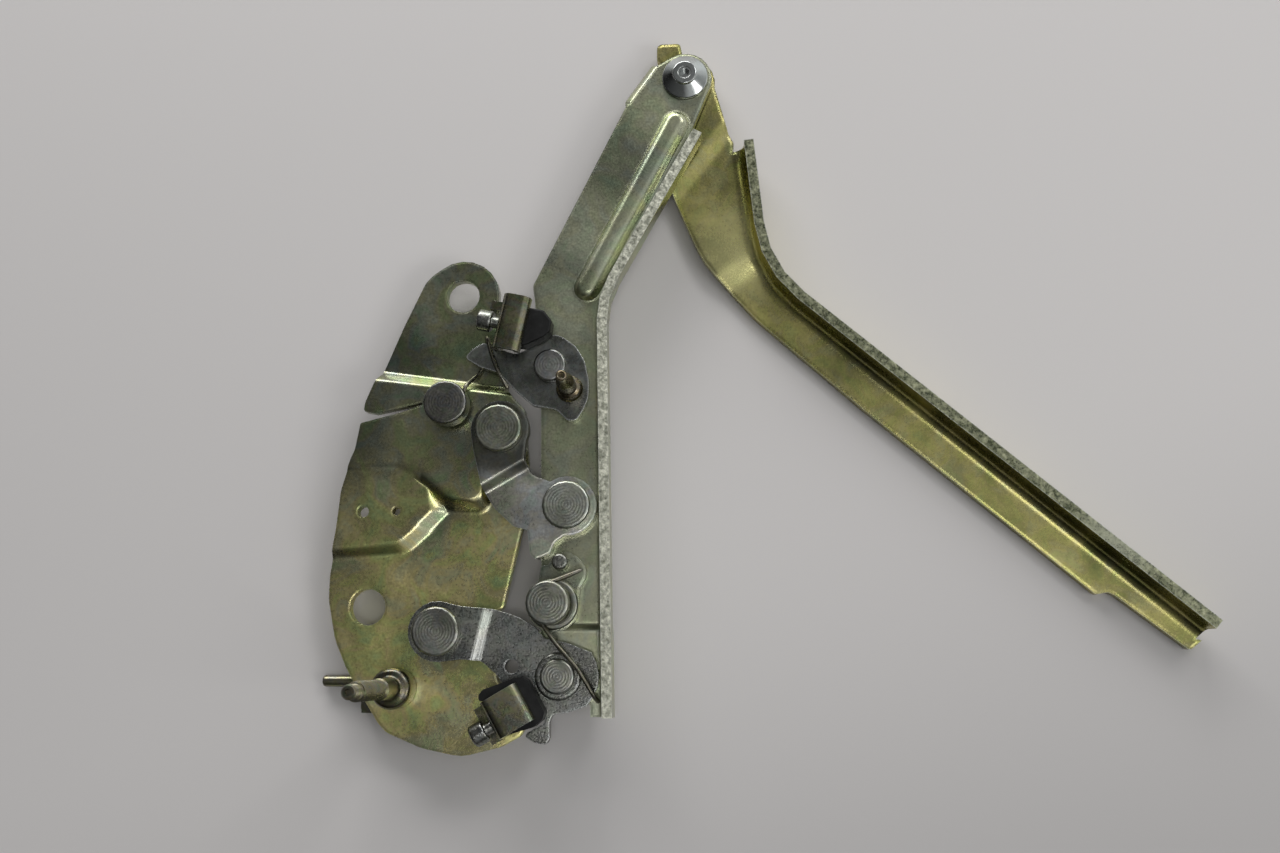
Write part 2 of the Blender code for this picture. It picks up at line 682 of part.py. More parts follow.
def stop(prefix, corner, heading, length, width, underside, top_z, leg, foot, rubber_outline, screw_at, brim=None):
    """A folded bracket on the plate, a rubber buffer under its roof and the screw that holds the buffer.

    Local axes: u runs across the roof from the wall, v runs along the wall away from the corner.
    """
    turn = Matrix.Translation((corner[0], corner[1], 0.0)) @ Matrix.Rotation(heading, 4, "Z")

    def placed(points):
        return [(turn @ Vector((u, -v, 0.0))).to_2d() for u, v in points]

    sheet = STOP_SHEET
    half = sheet / 2
    foot_z = BASE_TOP + GAP
    strip = rounded([
        (-foot, foot_z + half), (half, foot_z + half), (half, top_z - half), (width - half, top_z - half),
        (width - half, top_z - STOP_LIP),
    ], STOP_BEND, False)
    section = offset(strip, half) + offset(strip, -half)[::-1]
    bracket = plate(prefix + "_bracket", [section], 0.0, length)
    bracket.data.transform(turn @ Matrix.Rotation(math.pi / 2, 4, "X"))
    if leg < length:
        sweep = placed([(-foot - PASS, leg), (2 * sheet, leg), (2 * sheet, length + PASS), (-foot - PASS, length + PASS)])
        clear = plate(prefix + "_clear", [sweep], BASE_TOP - PASS, underside - BASE_TOP + PASS, CUTTERS)
        boolean(bracket, clear, "DIFFERENCE")
    along, screw_z = screw_at
    axle = turn @ Matrix.Translation((0.0, -along, screw_z)) @ Matrix.Rotation(math.pi / 2, 4, "Y")
    reach = STOP_SCREW_REACH
    bore_r = STOP_SCREW_R + GAP
    bore = turned(prefix + "_bore", [(0.0, reach + GAP), (bore_r, reach + GAP), (bore_r, -PASS), (0.0, -PASS)],
                  (0.0, 0.0), CUTTERS, 18)
    bore.matrix_world = axle
    boolean(bracket, bore, "DIFFERENCE")
    hang(bracket, OLIVE_ZINC, BASE)
    ceiling = top_z - STOP_LIP - GAP
    block = plate(prefix + "_rubber", [rounded(placed(rubber_outline), 0.0015)], underside, ceiling - underside)
    if brim is not None:
        floor = LOWER_LINK_LOW + LINK_SHEET + RUN_CLEARANCE
        collar = plate(prefix + "_brim", [rounded(placed(brim), 0.0015)], floor, ceiling - floor, CUTTERS)
        boolean(block, collar, "UNION")
    boolean(block, bore, "DIFFERENCE")
    hang(block, BLACK_RUBBER, BASE)
    head = STOP_SCREW_HEAD_R
    profile = [
        (0.0, reach - GAP), (STOP_SCREW_R, reach - GAP), (STOP_SCREW_R, -GAP), (STOP_SCREW_R * 1.3, -GAP),
        (STOP_SCREW_R * 1.3, -0.0028), (head - 0.0004, -0.0028), (head, -0.0032), (head, -0.0074),
        (head - 0.0006, -0.0080), (0.0018, -0.0080), (0.0018, -0.0065), (0.0, -0.0065),
    ]
    screw = turned(prefix + "_screw", profile, (0.0, 0.0), PARTS, 24)
    screw.matrix_world = axle
    hang(screw, BRIGHT_ZINC, BASE)


def stops():
    """The two buffer stops on the plate."""
    upper = [(2.5, 2.8), (14.5, 2.6), (18.2, 5.8), (18.4, 9.8), (16.4, 12.2), (10.5, 16.5), (2.5, 17.5)]
    stop(
        "upper_stop", (0.0256, 0.0099), math.radians(-12), 0.0196, 0.0099, LEVER_TOP + RUN_CLEARANCE, 0.0202,
        0.0032, 0.0070, millimetres(upper), (0.0098, 0.0136),
    )
    lower = [(2.5, 0.3), (15.2, 0.3), (15.2, 12.9), (2.5, 12.9)]
    brim = [
        (2.5, -0.4), (0.0, -0.5), (0.4, -2.5), (2.5, -3.6), (13.9, -1.6), (16.4, -0.6), (17.2, 1.2), (17.2, 13.0),
        (15.4, 14.8), (11.5, 15.4), (2.5, 13.2),
    ]
    stop(
        "lower_stop", (0.0201, -0.1302), math.radians(30), 0.0134, 0.0138, BASE_TOP + GAP, 0.0193,
        0.0134, 0.0048, millimetres(lower), (0.0082, 0.0125), millimetres(brim),
    )


def lower_link():
    """The lower link: one lobe on the plate, one on the arm, a step between them and a hook round the stop."""
    edge = arc(LOWER_BASE_PIVOT, LINK_LOBE_R, 85, 275)
    edge += millimetres([
        (11.7, -115.8, 4), (18.5, -116.3, 3), (24.2, -121.2, 2), (26.3, -123.9, 1), (33.4, -121.6, 1.5),
        (35.6, -121.9, 1), (41.0, -134.6, 2), (40.2, -136.9, 1), (34.6, -139.9, 1), (34.0, -141.2, 0.8),
        (37.2, -143.2, 1.5), (41.2, -143.7, 1.2), (42.2, -141.5, 1.5), (42.0, -136.3, 3), (43.4, -133.8, 2),
    ])
    edge += arc(LOWER_ARM_PIVOT, LOWER_ARM_LOBE_R * 0.9, -80, -64)
    edge += arc(LOWER_ARM_PIVOT, LOWER_ARM_LOBE_R, -46, 36)
    edge += millimetres([
        (47.3, -110.2, 8), (40.2, -109.0, 3), (36.8, -105.2, 4), (31.5, -101.9, 6), (22.6, -99.0, 6), (11.2, -98.0, 8),
    ])
    holes = [
        circle(LOWER_BASE_PIVOT, SHANK_R + GAP),
        circle(LOWER_ARM_PIVOT, SHANK_R + GAP),
        circle(LINK_HOLE, LINK_HOLE_R, 18),
    ]
    link = plate("lower_link", [rounded(edge)] + holes, LOWER_LINK_HIGH, LINK_SHEET)
    step(link, (0.0168, -0.1082), (0.974, -0.226), 0.0034, -LOWER_LINK_STEP)
    hang(link, BRIGHT_ZINC, LOWER_LINK, LOWER_BASE_PIVOT)


def upper_link():
    """The upper link: a lobe on the ridge, a lobe on the arm and a toe that pushes the pawl aside."""
    edge = arc(UPPER_BASE_PIVOT, LINK_LOBE_R, 195, -25)
    edge += millimetres([(32.6, -48.0, 2), (34.8, -52.8, 3), (37.0, -53.9, 2)])
    edge += arc(UPPER_ARM_PIVOT, UPPER_ARM_LOBE_R, 125, -95)
    edge += millimetres([
        (43.2, -76.8, 2), (41.9, -80.3, 1.2), (36.8, -82.3, 1.2), (34.9, -80.5, 1.2), (33.8, -72.2, 1),
        (29.0, -70.9, 2), (22.2, -64.6, 4), (18.4, -58.4, 3), (16.7, -51.8, 6), (15.0, -45.0, 4),
    ])
    holes = [
        circle(UPPER_BASE_PIVOT, SHANK_R + GAP),
        circle(UPPER_ARM_PIVOT, SHANK_R + GAP + COUPLER_PLAY),
    ]
    link = plate("upper_link", [rounded(edge)] + holes, UPPER_LINK_HIGH, LINK_SHEET)
    step(link, (0.0262, -0.0514), (0.5, -0.866), 0.0038, UPPER_LINK_LOW - UPPER_LINK_HIGH)
    hang(link, GREY_ZINC, UPPER_LINK, UPPER_BASE_PIVOT)


def mid_arm():
    """The mid arm: a sheet with a pressed bead, an upright flange, a step and a stop lug turned down."""
    fold = rounded(millimetres([(95.2, 69.4), (61.2, 8.6, 30), (63.8, -134.8)]), closed=False)
    seam = seam_of(fold, 0.0055)
    pivot = Vector(HOOD_PIVOT)
    lug_line = [pivot + Vector((-0.0226, -0.0070)), pivot + Vector((-0.0128, 0.0069))]
    along = (lug_line[1] - lug_line[0]).normalized()
    inside = offset(lug_line, 0.0030)
    edge = arc(HOOD_PIVOT, ARM_END_R, -20, 122)
    edge += [(*(inside[1] + along * GAP), 0.0), (*(inside[0] - along * GAP), 0.0)]
    edge += millimetres([
        (67.6, 85.6, 2), (33.6, 16.4, 2), (34.6, 9.0, 6), (37.2, -27.5, 8), (38.2, -82.2, 4), (38.4, -104.0, 4),
    ])
    edge += arc(LOWER_ARM_PIVOT, ARM_LOWER_LOBE_R, 165, 262)
    edge += millimetres([(53.5, -129.6, 3), (57.8, -133.0, 2)])
    edge += [(p.x, p.y, 0.0) for p in reversed(seam)]
    arm = plate("mid_arm", [rounded(edge)], ARM_BOTTOM, ARM_SHEET)
    upright = flange("arm_flange", fold, ARM_SHEET, ARM_FLANGE_HEIGHT, ARM_BEND + ARM_SHEET, 0.0085, ARM_BOTTOM)
    boolean(arm, upright, "UNION")
    lug = flange("arm_lug", lug_line, ARM_SHEET, ARM_SHEET + LUG_DEPTH, LUG_BEND + ARM_SHEET, 0.0065,
                 ARM_BOTTOM, down=True)
    boolean(arm, lug, "UNION")
    start = pivot + Vector((-0.0036, -0.0180))
    end = Vector((0.0533, 0.0152))
    heading = math.degrees(math.atan2(start.y - end.y, start.x - end.x))

    def capsule(radius):
        return [Vector(p[:2]) for p in arc(start, radius, heading - 90, heading + 90)
                + arc(end, radius, heading + 90, heading + 270)]

    bead = [(capsule(radius), share) for radius, share in BEAD_SHAPE]
    reliefs(arm, [("bead", bead, BEAD_RISE)], ARM_BOTTOM, ARM_SHEET)
    flat = ARM_TOP + 0.4 * ARM_FLANGE_HEIGHT
    step(arm, (0.0, -0.1036), (0.0, -1.0), 0.0028, -ARM_STEP, flat)
    low = min(ARM_LOW_BOTTOM, ARM_BOTTOM)
    high = ARM_TOP
    drill(arm, HOOD_PIVOT, SCREW_SHANK_R + GAP, low, high)
    drill(arm, UPPER_ARM_PIVOT, SHANK_R + GAP, low, high)
    drill(arm, LOWER_ARM_PIVOT, SHANK_R + GAP, low, high)
    drill(arm, LATCH_PIVOT, LATCH_SHANK_R + GAP, low, high, 20)
    drill(arm, PAWL_PIVOT, SPRING_POST_NECK_R + GAP, low, high)
    hang(arm, OLIVE_ZINC, MID_ARM, LOWER_ARM_PIVOT)


def arm_rivets():
    """The rivets that hold the links and the latch on the mid arm, and the rings under two of them."""
    lower_top = LOWER_LINK_LOW + LINK_SHEET
    hang(rivet("upper_link_arm_rivet", UPPER_ARM_PIVOT, UPPER_LINK_LOW + LINK_SHEET, ARM_BOTTOM), RIVET_STEEL, MID_ARM)
    ring_top = lower_top + GAP + RING_HEIGHT
    bore = SHANK_R + GAP
    ring = turned("lower_link_ring", [
        (bore, ring_top), (RING_R - HEAD_CHAMFER, ring_top), (RING_R, ring_top - HEAD_CHAMFER),
        (RING_R, lower_top + GAP), (bore, lower_top + GAP), (bore, ring_top),
    ], LOWER_ARM_PIVOT)
    hang(ring, BRIGHT_ZINC, MID_ARM)
    hang(rivet("lower_link_arm_rivet", LOWER_ARM_PIVOT, ring_top, ARM_LOW_BOTTOM, LOWER_HEAD_R, SHANK_R, 0.0020),
         RIVET_STEEL, MID_ARM)
    hang(rivet("latch_pivot_rivet", LATCH_PIVOT, LEVER_TOP, ARM_BOTTOM, LATCH_HEAD_R, LATCH_SHANK_R, 0.0030),
         BLUE_ZINC, MID_ARM)


def base_rivets():
    """The rivets that hold the links on the plate, and the washer under the lower link."""
    hang(rivet("upper_link_base_rivet", UPPER_BASE_PIVOT, UPPER_LINK_HIGH + LINK_SHEET, RIDGE_RISE), RIVET_STEEL, BASE)
    hang(rivet("lower_link_base_rivet", LOWER_BASE_PIVOT, LOWER_LINK_HIGH + LINK_SHEET, 0.0), RIVET_STEEL, BASE)
    bore = SHANK_R + GAP
    low = BASE_TOP + GAP
    high = LOWER_LINK_HIGH - GAP
    washer = turned("lower_link_washer", [(bore, high), (WASHER_R, high), (WASHER_R, low), (bore, low), (bore, high)],
                    LOWER_BASE_PIVOT)
    hang(washer, BRONZE, BASE)


def pawl_set():
    """The sprung pawl on its post: the plate, its pin, the post and the torsion spring."""
    edge = arc(PAWL_PIVOT, 0.0093, 165, 330)
    edge += millimetres([
        (52.2, -92.0, 2), (54.0, -88.4, 2), (54.4, -85.6, 3), (51.5, -81.8, 4), (48.8, -80.0, 3), (46.0, -79.6, 3),
        (44.2, -81.0, 1), (42.2, -82.2, 1), (41.2, -84.0, 1), (38.6, -84.4, 1), (37.8, -90.0, 6),
    ])
    holes = [circle(PAWL_PIVOT, SPRING_POST_NECK_R + GAP), circle(PAWL_PIN, PAWL_PIN_SHANK_R + GAP, 14)]
    pawl = plate("pawl", [rounded(edge)] + holes, PAWL_BOTTOM, PAWL_SHEET)
    hang(pawl, OLIVE_ZINC, PAWL, PAWL_PIVOT)
    seat = PAWL_TOP + GAP
    pin_top = seat + PAWL_PIN_HEIGHT
    pin = turned("pawl_pin", [
        (0.0, pin_top), (PAWL_PIN_R - HEAD_CHAMFER, pin_top), (PAWL_PIN_R, pin_top - HEAD_CHAMFER),
        (PAWL_PIN_R, seat), (PAWL_PIN_SHANK_R, seat), (PAWL_PIN_SHANK_R, PAWL_BOTTOM + GAP / 2),
        (0.0, PAWL_BOTTOM + GAP / 2),
    ], PAWL_PIN, steps=20)
    hang(pin, BRIGHT_ZINC, PAWL)
    shoulder = seat + SPRING_POST_FLANGE_HEIGHT
    head = shoulder + SPRING_POST_NECK_HEIGHT
    top = head + HEAD_HEIGHT
    rear = ARM_BOTTOM - GAP
    neck = SPRING_POST_NECK_R
    post = turned("spring_post", [
        (0.0, top), (SPRING_POST_HEAD_R - HEAD_CHAMFER, top), (SPRING_POST_HEAD_R, top - HEAD_CHAMFER),
        (SPRING_POST_HEAD_R, head), (neck, head), (neck, shoulder), (SPRING_POST_FLANGE_R - HEAD_CHAMFER, shoulder),
        (SPRING_POST_FLANGE_R, shoulder - HEAD_CHAMFER), (SPRING_POST_FLANGE_R, seat), (neck, seat), (neck, rear),
        (SPRING_POST_REAR_R, rear), (SPRING_POST_REAR_R, rear - REAR_HEAD_HEIGHT), (0.0, rear - REAR_HEAD_HEIGHT),
    ], PAWL_PIVOT)
    hang(post, RIVET_STEEL, MID_ARM)
    coil_r = neck + GAP + PAWL_WIRE_R
    bottom = shoulder + GAP + PAWL_WIRE_R
    turns = 3 + (212.7 - 113.5) / 360
    climb = turns * PAWL_COIL_PITCH
    centre = Vector((PAWL_PIVOT[0], PAWL_PIVOT[1], 0.0))
    path = [Vector((0.0545, -0.0862, bottom + climb)), Vector((0.0480, -0.0890, bottom + climb))]
    count = 50
    for i in range(count + 1):
        angle = math.radians(113.5) + 2 * math.pi * turns * i / count
        height = bottom + climb * (1 - i / count)
        path.append(centre + Vector((coil_r * math.cos(angle), coil_r * math.sin(angle), height)))
    rest = [(43.2, -109.4, 0), (47.6, -114.2, 0), (51.6, -118.2, 0), (57.2, -127.4, 0), (58.3, -129.2, -1.6),
            (58.6, -129.9, -5.0)]
    path += [Vector((x * MM, y * MM, bottom + z * MM)) for x, y, z in rest]
    hang(wire("pawl_spring", path, PAWL_WIRE_R), SPRING_STEEL, MID_ARM)


def latch_set():
    """The latch lever with its striker bolt, and the wire spring from the catch post over the lever's nose."""
    edge = millimetres([
        (10.1, -10.6, 1.2), (12.6, -7.7, 2), (16.9, -5.2, 2), (28.2, -9.8, 6), (31.8, -8.4, 4), (35.0, -5.0, 5),
        (41.0, -2.6, 6), (44.6, -3.4, 6), (49.8, -7.2, 6), (53.0, -12.6, 6), (54.6, -20.0, 8), (54.4, -26.0, 8),
        (52.6, -30.4, 4), (50.2, -33.9, 2), (47.2, -34.0, 2), (43.2, -30.0, 4), (34.9, -28.4, 2), (29.1, -23.4, 3),
        (24.8, -18.9, 3), (21.8, -16.1, 3), (15.7, -14.1, 3),
    ])
    holes = [circle(LATCH_PIVOT, LATCH_SHANK_R + GAP, 20), circle(STRIKER, 0.0036 + GAP, 18)]
    lever = plate("latch_lever", [rounded(edge)] + holes, LEVER_BOTTOM, LEVER_SHEET)
    hang(lever, BLUE_ZINC, LATCH, LATCH_PIVOT)
    seat = LEVER_TOP + GAP
    top = seat + STRIKER_HEIGHT
    bolt = turned("striker_bolt", [
        (0.0, top - 0.0012), (STRIKER_TIP_R * 0.55, top - 0.0012), (STRIKER_TIP_R * 0.55, top),
        (STRIKER_TIP_R - 0.0003, top), (STRIKER_TIP_R, top - 0.0005), (STRIKER_TIP_R, top - 0.0060),
        (0.0031, top - 0.0085), (0.0031, seat + 0.0050), (0.0042, seat + 0.0042), (0.0042, seat + 0.0026),
        (STRIKER_COLLAR_R - 0.0004, seat + 0.0022), (STRIKER_COLLAR_R, seat + 0.0016), (STRIKER_COLLAR_R, seat),
        (0.0036, seat), (0.0036, LEVER_BOTTOM + GAP / 2), (0.0, LEVER_BOTTOM + GAP / 2),
    ], STRIKER)
    hang(bolt, BRASS, LATCH)
    over_ridge = RIDGE_TOP + GAP + LATCH_WIRE_R
    under_lever = (BASE_TOP + LEVER_BOTTOM) / 2
    over_lever = LEVER_TOP + GAP + LATCH_WIRE_R
    loop = arc(CATCH_POST, POST_NECK_R + GAP + LATCH_WIRE_R, -70, 42)
    path = [Vector((x, y, over_ridge)) for x, y, _ in loop]
    ramp = [(10.9, -20.8, 1.0), (12.3, -18.7, 0.55), (13.7, -16.9, 0.15), (15.2, -14.8, 0.0)]
    path += [Vector((x * MM, y * MM, under_lever + (over_ridge - under_lever) * share)) for x, y, share in ramp]
    path += [Vector((x * MM, y * MM, under_lever)) for x, y in ((16.6, -11.4), (17.2, -7.6))]
    hook = [(17.4, -4.3, 0.05), (17.6, -3.4, 0.40), (18.0, -3.4, 0.80), (18.6, -4.9, 1.0)]
    path += [Vector((x * MM, y * MM, under_lever + (over_lever - under_lever) * share)) for x, y, share in hook]
    path += [Vector((x * MM, y * MM, over_lever)) for x, y in ((19.4, -8.2), (20.8, -12.2), (22.6, -16.6))]
    path += [Vector((x * MM, y * MM, over_lever - drop * MM)) for x, y, drop in
             ((24.5, -20.0, 0.1), (25.5, -21.5, 0.6), (25.9, -22.2, 1.4))]
    hang(wire("latch_spring", path, LATCH_WIRE_R), SPRING_STEEL, LATCH)


def hood_arm():
    """The hood arm: a pivot panel, two shallow steps down and a long web with an upright flange."""
    fold = rounded(millimetres([(113.7, 69.0), (118.5, 21.5, 40), (262.3, -103.4)]), closed=False)
    seam = seam_of(fold, 0.0078)
    edge = arc(HOOD_PIVOT, HOOD_END_R, -10, 95)
    edge += millimetres([
        (87.0, 111.6, 1.5), (78.3, 111.6, 2.0), (78.3, 104.9, 1.5), (81.6, 101.9, 1.5), (78.9, 94.6, 3),
        (79.8, 88.6, 6), (83.5, 70.0, 10), (83.6, 52.6, 6),
        (94.7, 26.1, 40), (113.9, 4.2, 40), (150.5, -29.2, 0), (225.9, -94.4, 2), (229.9, -93.6, 2),
        (232.0, -94.6, 2), (255.2, -113.0, 1.5), (259.3, -109.6, 0),
    ])
    edge += [(p.x, p.y, 0.0) for p in reversed(seam)]
    edge += millimetres([(106.6, 71.6, 1.5), (104.6, 75.5, 2)])
    arm = plate("hood_arm", [rounded(edge)], HOOD_WEB_BOTTOM, HOOD_SHEET)
    upright = flange("hood_flange", fold, HOOD_SHEET, HOOD_FLANGE_HEIGHT, HOOD_BEND + HOOD_SHEET, 0.0112,
                     HOOD_WEB_BOTTOM)
    boolean(arm, upright, "UNION")
    flat = HOOD_WEB_TOP + 0.4 * HOOD_FLANGE_HEIGHT
    lower = Vector(HOOD_PIVOT) + Vector((0.0170, -0.0820))
    upper = Vector(HOOD_PIVOT) + Vector((0.0070, -0.0340))
    step(arm, lower, (-0.49, 0.87), 0.0130, HOOD_DROP / 2, flat)
    step(arm, upper, (-0.79, 0.61), 0.0070, HOOD_DROP / 2, flat)
    drill(arm, HOOD_PIVOT, SCREW_SHANK_R + BUSH_WALL + 2 * GAP, HOOD_BOTTOM, HOOD_TOP)
    hang(arm, YELLOW_ZINC, HOOD, HOOD_PIVOT)


def hood_pivot():
    """The pivot screw, its bush and its nut, all on the mid arm."""
    head = ARM_TOP + GAP
    top = head + SCREW_HEAD_HEIGHT
    end = HOOD_BOTTOM - GAP - NUT_HEIGHT
    screw = turned("pivot_screw", [
        (0.0, top - SCREW_SOCKET_DEPTH), (SCREW_SOCKET_R, top - SCREW_SOCKET_DEPTH), (SCREW_SOCKET_R, top),
        (SCREW_TOP_R - 0.0003, top), (SCREW_TOP_R, top - 0.0003), (SCREW_TOP_R, top - 0.0012),
        (SCREW_HEAD_R - 0.0004, head + 0.0011), (SCREW_HEAD_R, head + 0.0007), (SCREW_HEAD_R, head),
        (SCREW_SHANK_R, head), (SCREW_SHANK_R, end + 0.0004), (SCREW_SHANK_R - 0.0004, end), (0.0, end),
    ], HOOD_PIVOT)
    hang(screw, CHROME, MID_ARM)
    bore = SCREW_SHANK_R + GAP
    rim = ARM_BOTTOM - GAP
    sleeve = bore + BUSH_WALL - GAP
    foot = HOOD_BOTTOM + GAP
    bush = turned("pivot_bush", [
        (bore, rim), (BUSH_FLANGE_R, rim), (BUSH_FLANGE_R, rim - BUSH_FLANGE), (sleeve, rim - BUSH_FLANGE),
        (sleeve, foot), (bore, foot), (bore, rim),
    ], HOOD_PIVOT)
    hang(bush, BRONZE, MID_ARM)
    hexagon = circle(HOOD_PIVOT, NUT_R, 6)
    nut = plate("pivot_nut", [hexagon, circle(HOOD_PIVOT, bore)], end, NUT_HEIGHT)
    hang(nut, BRIGHT_ZINC, MID_ARM)


base_plate()
catch_post()
body_stud()
pin_carrier()
stops()
base_rivets()
lower_link()
upper_link()
mid_arm()
arm_rivets()
pawl_set()
latch_set()
hood_arm()
hood_pivot()
bpy.context.view_layer.update()
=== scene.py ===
# %% [markdown]
# # A hood hinge in passivated zinc
# The imported model is loaded as a fixed frame. Every piece of it keeps its place, and this script only gives
# it rounded edges, a thread, a socket and finishes. The box of the bare frame is kept.

# %% Load the frame
import json
import math

import bmesh
import bpy
from mathutils import Matrix, Vector


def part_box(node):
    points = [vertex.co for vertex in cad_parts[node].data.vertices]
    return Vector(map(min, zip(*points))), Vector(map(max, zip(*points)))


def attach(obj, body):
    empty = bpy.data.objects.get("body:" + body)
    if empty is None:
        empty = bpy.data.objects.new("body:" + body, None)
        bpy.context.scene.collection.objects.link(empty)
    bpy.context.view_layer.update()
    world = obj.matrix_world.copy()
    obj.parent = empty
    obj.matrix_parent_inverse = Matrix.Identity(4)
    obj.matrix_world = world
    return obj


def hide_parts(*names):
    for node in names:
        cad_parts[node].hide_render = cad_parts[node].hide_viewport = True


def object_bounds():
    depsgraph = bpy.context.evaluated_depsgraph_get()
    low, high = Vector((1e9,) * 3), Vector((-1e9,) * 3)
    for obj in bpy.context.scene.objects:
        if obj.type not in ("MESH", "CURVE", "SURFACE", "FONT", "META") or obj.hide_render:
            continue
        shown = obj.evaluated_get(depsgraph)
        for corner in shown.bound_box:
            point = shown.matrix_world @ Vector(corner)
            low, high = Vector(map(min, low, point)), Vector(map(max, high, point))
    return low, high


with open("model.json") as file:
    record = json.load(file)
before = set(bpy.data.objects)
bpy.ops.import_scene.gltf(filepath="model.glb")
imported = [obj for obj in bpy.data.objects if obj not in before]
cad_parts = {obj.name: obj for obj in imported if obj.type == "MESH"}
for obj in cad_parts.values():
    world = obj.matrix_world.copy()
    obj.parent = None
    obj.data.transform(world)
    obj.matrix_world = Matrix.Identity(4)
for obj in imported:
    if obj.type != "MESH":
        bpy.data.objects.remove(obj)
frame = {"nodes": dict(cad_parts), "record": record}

MM = 0.001
FULL_TURN = 2 * math.pi
nodes = frame["nodes"]
cad_box = [[float(v) for v in corner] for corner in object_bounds()]
floor_z = cad_box[0][2]
print("nodes:", len(nodes), "floor at", round(floor_z / MM, 2), "mm")

# %% [markdown]
# ## The camera
# The photograph was taken from above with a fairly wide lens. In its frame of 1280 by 853 pixels the focal
# length is about 1200 pixels, and straight down lies 100 pixels right of the middle and 233.5 below it.
# Those numbers give the camera's turn, so no angle has to be guessed.

# %% Camera
FRAME_WIDTH = 1280
FOCAL_PIXELS = 1200.0
STRAIGHT_DOWN = (100.0, 233.5)
SENSOR_WIDTH = 36.0
EYE = Vector((0.10591, -0.11602, floor_z + 0.423))

down_seen = Vector((*STRAIGHT_DOWN, FOCAL_PIXELS)).normalized()
x_seen = Vector((1.0, 0.0, 0.0))
x_seen = (x_seen - x_seen.dot(down_seen) * down_seen).normalized()
y_seen = (-down_seen).cross(x_seen)
right = Vector((x_seen.x, y_seen.x, -down_seen.x))
below = Vector((x_seen.y, y_seen.y, -down_seen.y))
ahead = Vector((x_seen.z, y_seen.z, -down_seen.z))

camera_data = bpy.data.cameras.new("camera")
camera_data.sensor_width = SENSOR_WIDTH
camera_data.lens = SENSOR_WIDTH * FOCAL_PIXELS / FRAME_WIDTH
camera_data.clip_start = 0.01
camera = bpy.data.objects.new("camera", camera_data)
turn = Matrix((right, -below, -ahead)).transposed()
camera.matrix_world = Matrix.Translation(EYE) @ turn.to_4x4()
bpy.context.scene.collection.objects.link(camera)
bpy.context.scene.camera = camera
print("lens", round(camera_data.lens, 2), "mm")

# %% [markdown]
# ## Short names for nodes
# Every finish on this hinge, the table and the sky are trees of shader nodes. Writing each node and link by hand
# takes many lines, so a few helpers do it: they make a node, and set or link its inputs by name.

# %% Node helpers
def feed(tree, socket, value):
    """Link another socket to this one, or set this one to a value."""
    if isinstance(value, bpy.types.NodeSocket):
        tree.links.new(value, socket)
    else:
        socket.default_value = value


def add(tree, kind, settings=None, **values):
    """A node with settings, and with its inputs fed by name."""
    node = tree.nodes.new(kind)
    for key, value in (settings or {}).items():
        setattr(node, key, value)
    for key, value in values.items():
        label = key.replace("_", " ")
        feed(tree, next(s for s in node.inputs if s.name == label and s.enabled), value)
    return node


def maths(tree, operation, first, second=None, third=None, clamp=False):
    """A Math node on numbers or sockets."""
    node = add(tree, "ShaderNodeMath", {"operation": operation, "use_clamp": clamp})
    for socket, value in zip(node.inputs, (first, second, third)):
        if value is not None:
            feed(tree, socket, value)
    return node.outputs[0]


def vector_maths(tree, operation, first, second=None, scale=None):
    """A Vector Math node. It answers with a number or with a vector, as the operation does."""
    node = add(tree, "ShaderNodeVectorMath", {"operation": operation})
    for index, value in ((0, first), (1, second), (3, scale)):
        if value is not None:
            feed(tree, node.inputs[index], value)
    return node.outputs["Value" if operation in ("DOT_PRODUCT", "DISTANCE", "LENGTH") else "Vector"]


def smooth_step(tree, value, start, end, low=0.0, high=1.0):
    """A smooth climb from low to high while the value goes from start to end."""
    node = add(tree, "ShaderNodeMapRange", {"interpolation_type": "SMOOTHSTEP"}, Value=value, From_Min=start,
               From_Max=end, To_Min=low, To_Max=high)
    return node.outputs[0]


def blend(tree, share, first, second, mode="MIX"):
    """A mix of two colours."""
    node = add(tree, "ShaderNodeMix", {"data_type": "RGBA", "blend_type": mode})
    for index, value in ((0, share), (6, first), (7, second)):
        feed(tree, node.inputs[index], value)
    return node.outputs[2]


def ramp(tree, share, stops):
    """A colour ramp from (place, colour) stops."""
    node = tree.nodes.new("ShaderNodeValToRGB")
    tree.links.new(share, node.inputs[0])
    elements = node.color_ramp.elements
    while len(elements) < len(stops):
        elements.new(0.5)
    for element, (place, colour) in zip(elements, stops):
        element.position = place
        element.color = (*colour, 1.0)
    return node.outputs[0]


def grey(value):
    return (value, value, value)


print("helpers:", [f.__name__ for f in (feed, add, maths, vector_maths, smooth_step, blend, ramp, grey)])

# %% [markdown]
# ## The table
# The hinge lies on a smooth, pale grey table top, which gets darker towards the viewer's side. One large square
# is enough. That darkening is painted shade in its colour along one direction, because a lamp placed for it would
# also change the metal.

# %% Table
TABLE_HALF = 20.0
TABLE_GAP = 0.0002
TABLE_PALE = (0.625, 0.600, 0.592, 1.0)
TABLE_SHADED = (0.455, 0.438, 0.432, 1.0)
TOWARDS_VIEWER = (0.35, -1.0, 0.0)
SHADE_START, SHADE_END = 0.10, 0.32

work = bmesh.new()
bmesh.ops.create_grid(work, x_segments=1, y_segments=1, size=TABLE_HALF)
bmesh.ops.translate(work, verts=work.verts, vec=(0.1, 0.0, floor_z - TABLE_GAP))
table_mesh = bpy.data.meshes.new("table_top")
work.to_mesh(table_mesh)
work.free()
table = bpy.data.objects.new("table_top", table_mesh)
bpy.context.scene.collection.objects.link(table)

